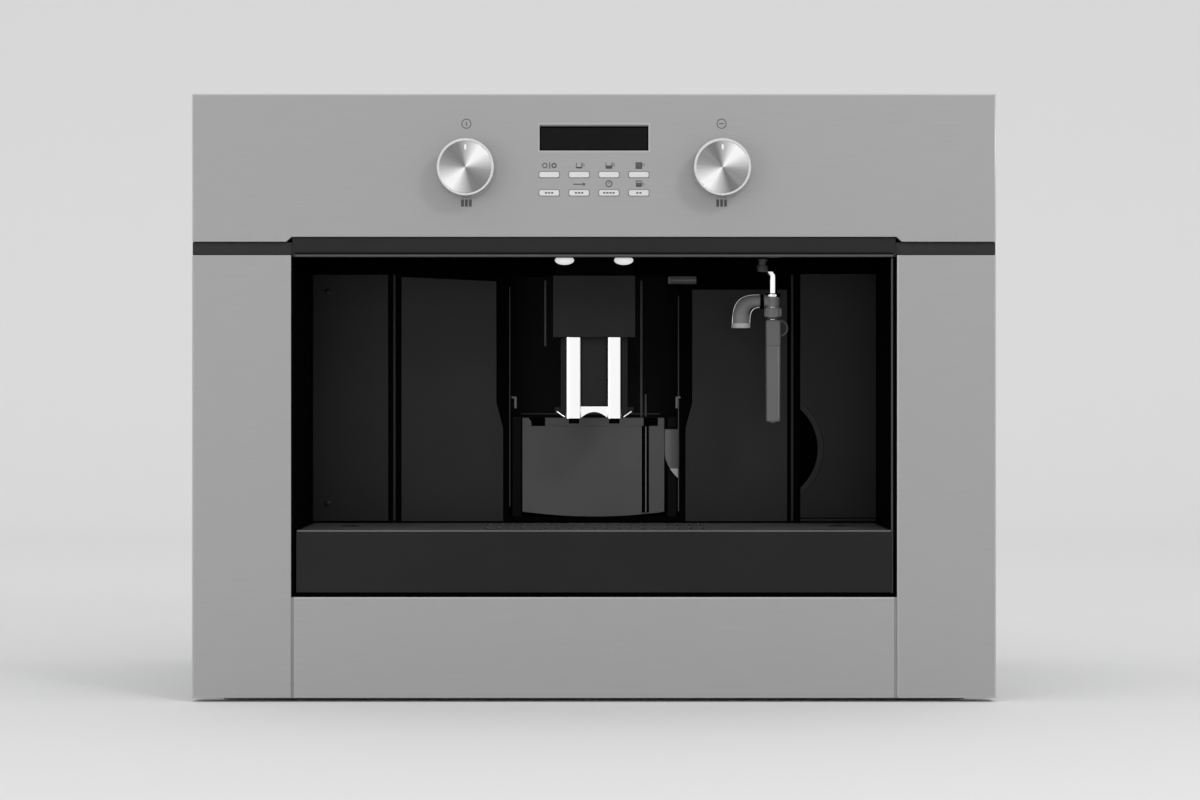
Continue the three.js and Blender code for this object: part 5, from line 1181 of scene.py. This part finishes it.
class MACHINE_OT_casing(bpy.types.Operator):
    """Finish the sheet casing: beads, louvres, screws, the inlet and a blank label"""
    bl_idname = "coffee_machine.casing"
    bl_label = "Casing"

    def execute(self, context):
        for node in ("casing", "top_cover", "inner_deck", "chassis_pan"):
            rounded(node, "zinc_sheet", 0.35, 1)
        low, high = corners("casing")
        top = corners("top_cover")[0].z + COVER_SHEET
        # Pressed beads stiffen the side walls and the cover.
        for (side, sign), x in zip(SIDES, (low.x, high.x)):
            first = tapered((x - 1.3, low.y + 60, low.z + 90), (x + 1.3, high.y - 60, low.z + 104),
                            lambda at: (at.x - x) * sign > 0, (1, 0.97, 0.4), 0.5, 3)
            settle(repeated(first, (0, 0, 74), (1, 2, 3)), f"casing_beads_{side}", "zinc_sheet")
            screw_row(f"casing_screws_{side}", [
                (x, y, z) for y in (low.y + 14, high.y - 14)
                for z in (low.z + 16, (low.z + high.z) / 2, high.z - 16)], (sign, 0, 0))
        first = tapered((20, low.y + 60, top - 1.2), (34, high.y - 40, top + 1.1),
                        lambda at: at.z > top, (0.4, 0.97, 1), 0.5, 3)
        settle(repeated(first, (58, 0, 0), (1, 2, 3)), "cover_beads", "zinc_sheet")
        screw_row("cover_screws", [(x, y, top) for x in (low.x + 14, 0, high.x - 14)
                                   for y in (low.y + 16, high.y - 14)], UP)
        screw_row("back_screws", [(x, high.y, z) for x in (low.x + 16, 0, high.x - 16)
                                  for z in (low.z + 16, high.z - 12)], BACK)
        # A hood is pressed out over each slot of the back.
        hood = tapered((-161, high.y - 0.2, 300.2), (-99, high.y + 3.6, 306.7),
                       lambda at: at.y > high.y + 1, (0.94, 1, 0.5), 0.8, 3)
        column = repeated(hood, (0, 0, 14), range(1, 6))
        settle(repeated(column, (260, 0, 0), (1,)), "back_louvres", "zinc_sheet")
        block("blank_label", (-150, high.y - 0.1, 150), (-80, high.y + 0.35, 190), 0.15,
              "blank_label")
        rounded("power_inlet", "chip_black", 0.5)
        low, high = corners("power_inlet")
        screw_row("inlet_screws", [(x, high.y - 0.2, (low.z + high.z) / 2)
                                   for x in (low.x + 4.2, high.x - 4.2)], BACK, 2.6)
        return {"FINISHED"}


class MACHINE_OT_bean_lid(bpy.types.Operator):
    """Finish the bean lid, with ribs on its grip"""
    bl_idname = "coffee_machine.bean_lid"
    bl_label = "Bean lid"

    def execute(self, context):
        rounded("bean_lid", "tray_abs", 0.7, 3, body="bean_lid")
        low = corners("bean_lid")[0]
        top = low.z + LID_THICKNESS
        first = brick((-170, low.y + 14, top - 0.6), (-100, low.y + 15.6, top + 0.7), 0.5)
        settle(repeated(first, (0, 4, 0), (1, 2, 3)), "bean_lid_ribs", "tray_abs",
               "bean_lid")
        return {"FINISHED"}


class MACHINE_OT_rails(bpy.types.Operator):
    """Finish the base plate and the telescopic rails with rivets and rubber stops"""
    bl_idname = "coffee_machine.rails"
    bl_label = "Base plate and rails"

    def execute(self, context):
        rounded("base_plate", "zinc_sheet", 0.35, 1, body="niche_base")
        for side, sign in SIDES:
            for part, body in (("outer", "niche_base"), ("middle", "rail_middle"),
                               ("inner", "machine")):
                rounded(f"rail_{part}_{side}", "rail_steel", 0.4, body=body)
            low, high = corners(f"rail_inner_{side}")
            web = low.x if sign > 0 else high.x
            screw_row(f"rail_rivets_{side}", [(web, y, (low.z + high.z) / 2)
                                              for y in (-150, -50, 50, 150)], (-sign, 0, 0), 2.8)
            low, high = corners(f"rail_middle_{side}")
            x = (low.x + high.x) / 2
            block(f"rail_stop_{side}", (x - 3.2, high.y - 8, low.z + 9),
                  (x + 3.2, high.y - 0.4, high.z - 9), 1.2, "rubber",
                  "rail_middle", 3)
        anchors = [(x, y, 1.2) for x in (-180, -60, 60, 180) for y in (-135, 135)]
        screw_row("anchor_screws", anchors, UP, 4.6, "niche_base")
        return {"FINISHED"}


class MACHINE_OT_brewing(bpy.types.Operator):
    """Finish the works in the middle: grinder, bean hopper and brew unit"""
    bl_idname = "coffee_machine.brewing"
    bl_label = "Grinder and brew unit"

    def execute(self, context):
        rounded("bean_hopper", "clear_san", 1.2, 3)
        rounded("grinder", "works_nylon", 1.0, 3)
        low, high = corners("grinder")
        middle = (low + high) / 2

        def round_the_drum(radius, turn, z):
            return (middle.x + radius * math.cos(turn), middle.y + radius * math.sin(turn), z)

        # A toothed ring round the drum sets the grind; three screws hold the drum's lid.
        drum = GRINDER_RADIUS
        teeth = [turned((middle.x, middle.y, low.z + 48), UP, [
            (drum - 1, 0), (drum + 2.4, 0), (drum + 3, 0.8), (drum + 3, 9.2), (drum + 2.4, 10),
            (drum - 1, 10)], 64, ring=True)]
        teeth += [turned(round_the_drum(drum + 3, n / GRINDER_TEETH * math.tau, low.z + 49.5), UP,
                         [(1.6, 0), (1.6, 7)], 8) for n in range(GRINDER_TEETH)]
        settle(joined(teeth), "grinder_ring", "cast_alloy")
        rim = (high.x - low.x) / 2 - 3
        screw_row("grinder_screws", [round_the_drum(rim, turn, high.z - 6)
                                     for turn in (-2.6, -1.57, -0.54)], DOWN, SMALL_SCREW)
        rounded("brew_unit", "works_nylon", 0.8)
        low, high = corners("brew_unit")
        # Ribs stiffen the brew unit's back, and a brass nozzle ends its water way.
        first = brick((low.x + 13, high.y - 0.4, low.z + 10),
                      (low.x + 15.2, high.y + 2.2, low.z + 72), 0.6)
        settle(repeated(first, (14.5, 0, 0), range(1, 7)), "brew_unit_ribs", "works_nylon")
        lathe("brew_unit_nozzle", (0, high.y, low.z + 40), BACK, [
            (7, -0.5), (7, 3), (4, 3.6), (3.4, 9), (4, 9.6), (3.4, 10.6), (2, 10.8)],
            "brass", sides=24)
        return {"FINISHED"}


class MACHINE_OT_water_way(bpy.types.Operator):
    """Finish the pump, the heater, the wand's socket and the hoses that join them"""
    bl_idname = "coffee_machine.water_way"
    bl_label = "Pump, heater and hoses"

    def execute(self, context):
        rounded("pump", "cast_alloy", 1.2, 3)
        low, high = corners("pump")
        y, z, radius = (low.y + high.y) / 2, high.z - PUMP_RADIUS, PUMP_RADIUS
        # Enamelled wire is wound round the pump's middle, between two flanges.
        wire = [(radius - 0.6, 0)]
        for n in range(PUMP_TURNS):
            wire += [(radius + 0.2, WIRE_PITCH * n), (radius + 0.9, WIRE_PITCH * (n + 0.5))]
        length = WIRE_PITCH * PUMP_TURNS
        wire += [(radius + 0.2, length), (radius - 0.6, length)]
        lathe("pump_winding", (low.x + 22.4, y, z), RIGHT, wire, "copper",
              ring=True)
        flanges = [turned((low.x + far, y, z), RIGHT, [
            (radius - 0.6, 0), (radius + 2.4, 0), (radius + 2.8, 0.5), (radius + 2.8, 1.9),
            (radius + 2.4, 2.4), (radius - 0.6, 2.4)], ring=True) for far in (19.6, 58)]
        settle(joined(flanges), "pump_flanges", "works_nylon")
        lathe("pump_spigot", (low.x, y, z), LEFT, [
            (8, -0.5), (8, 2.4), (4, 3), (3.2, 8), (4, 8.6), (2.8, 10.5)],
            "brass", sides=24)
        outlet = Vector((high.x - 3, y, z))
        rounded("thermoblock", "cast_alloy", 1.4, 3)
        low, high = corners("thermoblock")
        front = low.y + HEATER_PORT
        first = brick((low.x + 4, front - 1.8, low.z + 1.5),
                      (low.x + 5.6, front + 0.4, high.z - 7), 0.5)
        settle(repeated(first, (4.6, 0, 0), (1, 7, 8, 9, 14, 15)), "thermoblock_fins",
               "cast_alloy")
        screw_row("thermoblock_screws", [(x, front, low.z + 12.5)
                                         for x in (low.x + 14.5, high.x - 14.5)], FRONT, 2.2)
        foot = Vector((high.x - 14, low.y + 26, corners("inner_deck")[1].z))
        rounded("wand_socket", "works_nylon", 0.8)
        low, high = corners("wand_socket")
        top = Vector(((low.x + high.x) / 2, (low.y + high.y) / 2, high.z))
        lathe("wand_socket_spigot", top, UP, [
            (7, -0.5), (7, 1.6), (4, 2.2), (3.2, 7), (3.8, 7.6), (2.6, 9)],
            "brass", sides=24)
        # A silicone hose runs under the recess's floor, and another over the deck to the wand.
        end = Vector((190, 40, 77))
        supply = hose(outlet, outlet + Vector((120, 0, 0)), end - Vector((0, 0, 57)), end, 4.2)
        settle(supply, "hose_to_recess_floor", "hose")
        lathe("thermoblock_union", foot, UP, [
            (8, 0), (8, 2), (5, 2.6), (5, 6), (3.4, 6.6), (2.8, 12)], "brass",
            sides=6)
        start, end, rise = top + Vector((0, 0, 3)), foot + Vector((0, 0, 7)), Vector((0, 0, 40))
        settle(hose(start, start + rise, end + rise, end, 3.8), "hose_to_wand", "hose")
        return {"FINISHED"}


class MACHINE_OT_boards(bpy.types.Operator):
    """Populate the control board and the power board"""
    bl_idname = "coffee_machine.boards"
    bl_label = "Circuit boards"

    def execute(self, context):
        rounded("control_board", "solder_resist", 0.2, 1)
        low, high = corners("control_board")
        back, z = high.y, low.z + 14
        first = brick((low.x + 14, back - 0.2, z - 5), (low.x + 32, back + 2.4, z + 5), 0.4)
        settle(repeated(first, (48, 0, 0), range(1, 5)), "control_board_chips", "chip_black")
        first = turned((low.x + 20, back, high.z - 14), BACK, [
            (5, -0.2), (5, 8), (4.6, 8.8), (3.8, 8.8), (3.6, 8.6), (0.3, 8.6)], 24)
        settle(repeated(first, (22, 0, 0), (1, 2, 6, 8)), "control_board_capacitors",
               "screw_steel")
        rounded("power_board", "solder_resist", 0.2, 1)
        low, high = corners("power_board")
        first = brick((high.x - 0.3, low.y + 14, low.z + 14), (high.x + 9, low.y + 32, low.z + 34),
                      0.8)
        upper = [copied(first, (0, 34 * n, 56)) for n in (0, 2)]
        relays = joined([repeated(first, (0, 34, 0), range(1, 4)), *upper])
        settle(relays, "power_board_relays", "chip_black")
        lathe("power_board_coil", (high.x, low.y + 62, low.z + 78), RIGHT, [
            (13, -0.2), (13, 8), (12, 9), (7, 9), (6, 8), (6, -0.2)], "copper",
            sides=36, ring=True)
        return {"FINISHED"}


class MACHINE_OT_stage(bpy.types.Operator):
    """Set the pale floor, the soft lamps and the camera"""
    bl_idname = "coffee_machine.stage"
    bl_label = "Stage"

    def execute(self, context):
        look = context.scene.machine_stage
        clear_selection()
        bpy.ops.mesh.primitive_plane_add(size=1, location=(0, 0, 0), scale=(1, 1, 1))
        floor = bpy.context.object
        floor.name = "stage_cove"
        with editing(floor):
            bpy.ops.transform.resize(value=FLOOR_SIZE)
            bpy.ops.transform.translate(value=(0, FLOOR_MIDDLE, 0))
            mesh = bmesh.from_edit_mesh(floor.data)
            for edge in mesh.edges:
                edge.select_set(all(v.co.y > 0 for v in edge.verts))
            mesh.select_flush_mode()
            bmesh.update_edit_mesh(floor.data)
            steps = [math.radians(90 / COVE_STEPS * (n + 0.5)) for n in range(COVE_STEPS)]
            steps = [(0, COVE_STEP * math.cos(turn), COVE_STEP * math.sin(turn)) for turn in steps]
            for step in (*steps, (0, 0, WALL_HEIGHT)):
                bpy.ops.mesh.extrude_edges_move(TRANSFORM_OT_translate={"value": step})
            bpy.ops.mesh.select_all(action="SELECT")
            bpy.ops.mesh.normals_make_consistent(inside=False)
        bpy.ops.object.shade_smooth()
        material, _, shader = new_material("matt_studio_paper", Roughness=0.9)
        shader.inputs["Base Color"].default_value = (*look.backdrop, 1)
        shader.inputs["Specular IOR Level"].default_value = 0.1
        floor.data.materials.append(material)

        world = bpy.data.worlds.new("even_daylight")
        context.scene.world = world
        world.use_nodes = True
        world.node_tree.nodes.clear()
        ray = add_node(world.node_tree, "ShaderNodeLightPath")
        seen = add_node(world.node_tree, "ShaderNodeMapRange",
                        {"Value": ray.outputs["Is Glossy Ray"], "To Min": look.daylight,
                         "To Max": 1.0})
        sky = add_node(world.node_tree, "ShaderNodeBackground",
                       {"Color": (1, 1, 1, 1), "Strength": seen.outputs["Result"]})
        add_node(world.node_tree, "ShaderNodeOutputWorld", {"Surface": sky.outputs["Background"]})

        for name, place, aim, size, power in (
                ("lamp_high_right", (1.3, -2.3, 1.6), (0, -0.2, 0.2), 0.5, 12),
                ("lamp_low_left", (-1.5, -2.4, 0.2), (0, -0.2, 0.1), 1.2, 8)):
            bpy.ops.object.light_add(type="AREA", location=place)
            lamp = bpy.context.object
            lamp.name = name
            lamp.data.size = size
            lamp.data.energy = power
            lamp.rotation_mode = "QUATERNION"
            lamp.rotation_quaternion = (Vector(aim) - Vector(place)).to_track_quat("-Z", "Y")

        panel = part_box("control_panel")[0].y
        bpy.ops.object.camera_add(location=(CAMERA_X, panel - look.distance, CAMERA_Z),
                                  rotation=(math.radians(90), 0, 0))
        camera = bpy.context.object
        camera.name = "photo_camera"
        camera.data.lens = look.lens
        camera.data.sensor_width = SENSOR_WIDTH
        context.scene.camera = camera
        context.scene.view_settings.view_transform = "Standard"
        return {"FINISHED"}


class MACHINE_PT_panel(bpy.types.Panel):
    """Shows the machine's values and the buttons of its steps in the sidebar"""
    bl_label = "Coffee Machine"
    bl_idname = "MACHINE_PT_panel"
    bl_space_type = "VIEW_3D"
    bl_region_type = "UI"
    bl_category = "Coffee Machine"

    def draw(self, context):
        for group, kind in GROUPS:
            box = self.layout.box()
            for name in kind.__annotations__:
                box.prop(getattr(context.scene, group), name)
        for step in STEPS:
            self.layout.operator(step.bl_idname)


GROUPS = (("machine_panels", MachinePanels), ("machine_knobs", MachineKnobs),
          ("machine_stage", MachineStage))
STEPS = (MACHINE_OT_front_panels, MACHINE_OT_knobs, MACHINE_OT_display, MACHINE_OT_keys,
         MACHINE_OT_symbols, MACHINE_OT_recess, MACHINE_OT_spout, MACHINE_OT_lamps,
         MACHINE_OT_wand, MACHINE_OT_grounds, MACHINE_OT_tank, MACHINE_OT_drip_tray,
         MACHINE_OT_casing, MACHINE_OT_bean_lid, MACHINE_OT_rails, MACHINE_OT_brewing,
         MACHINE_OT_water_way, MACHINE_OT_boards, MACHINE_OT_stage)


def register():
    """Registers the classes and adds the values to the scene."""
    for name, group in GROUPS:
        bpy.utils.register_class(group)
        setattr(bpy.types.Scene, name, PointerProperty(type=group))
    for step in (*STEPS, MACHINE_PT_panel):
        bpy.utils.register_class(step)


def unregister():
    """Takes back what register did."""
    for step in (MACHINE_PT_panel, *reversed(STEPS)):
        bpy.utils.unregister_class(step)
    for name, group in reversed(GROUPS):
        delattr(bpy.types.Scene, name)
        bpy.utils.unregister_class(group)


def main():
    """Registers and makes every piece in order."""
    register()
    finishes.update(make_materials())
    for step in STEPS:
        group, name = step.bl_idname.split(".")
        getattr(getattr(bpy.ops, group), name)()


if __name__ == "__main__":
    main()
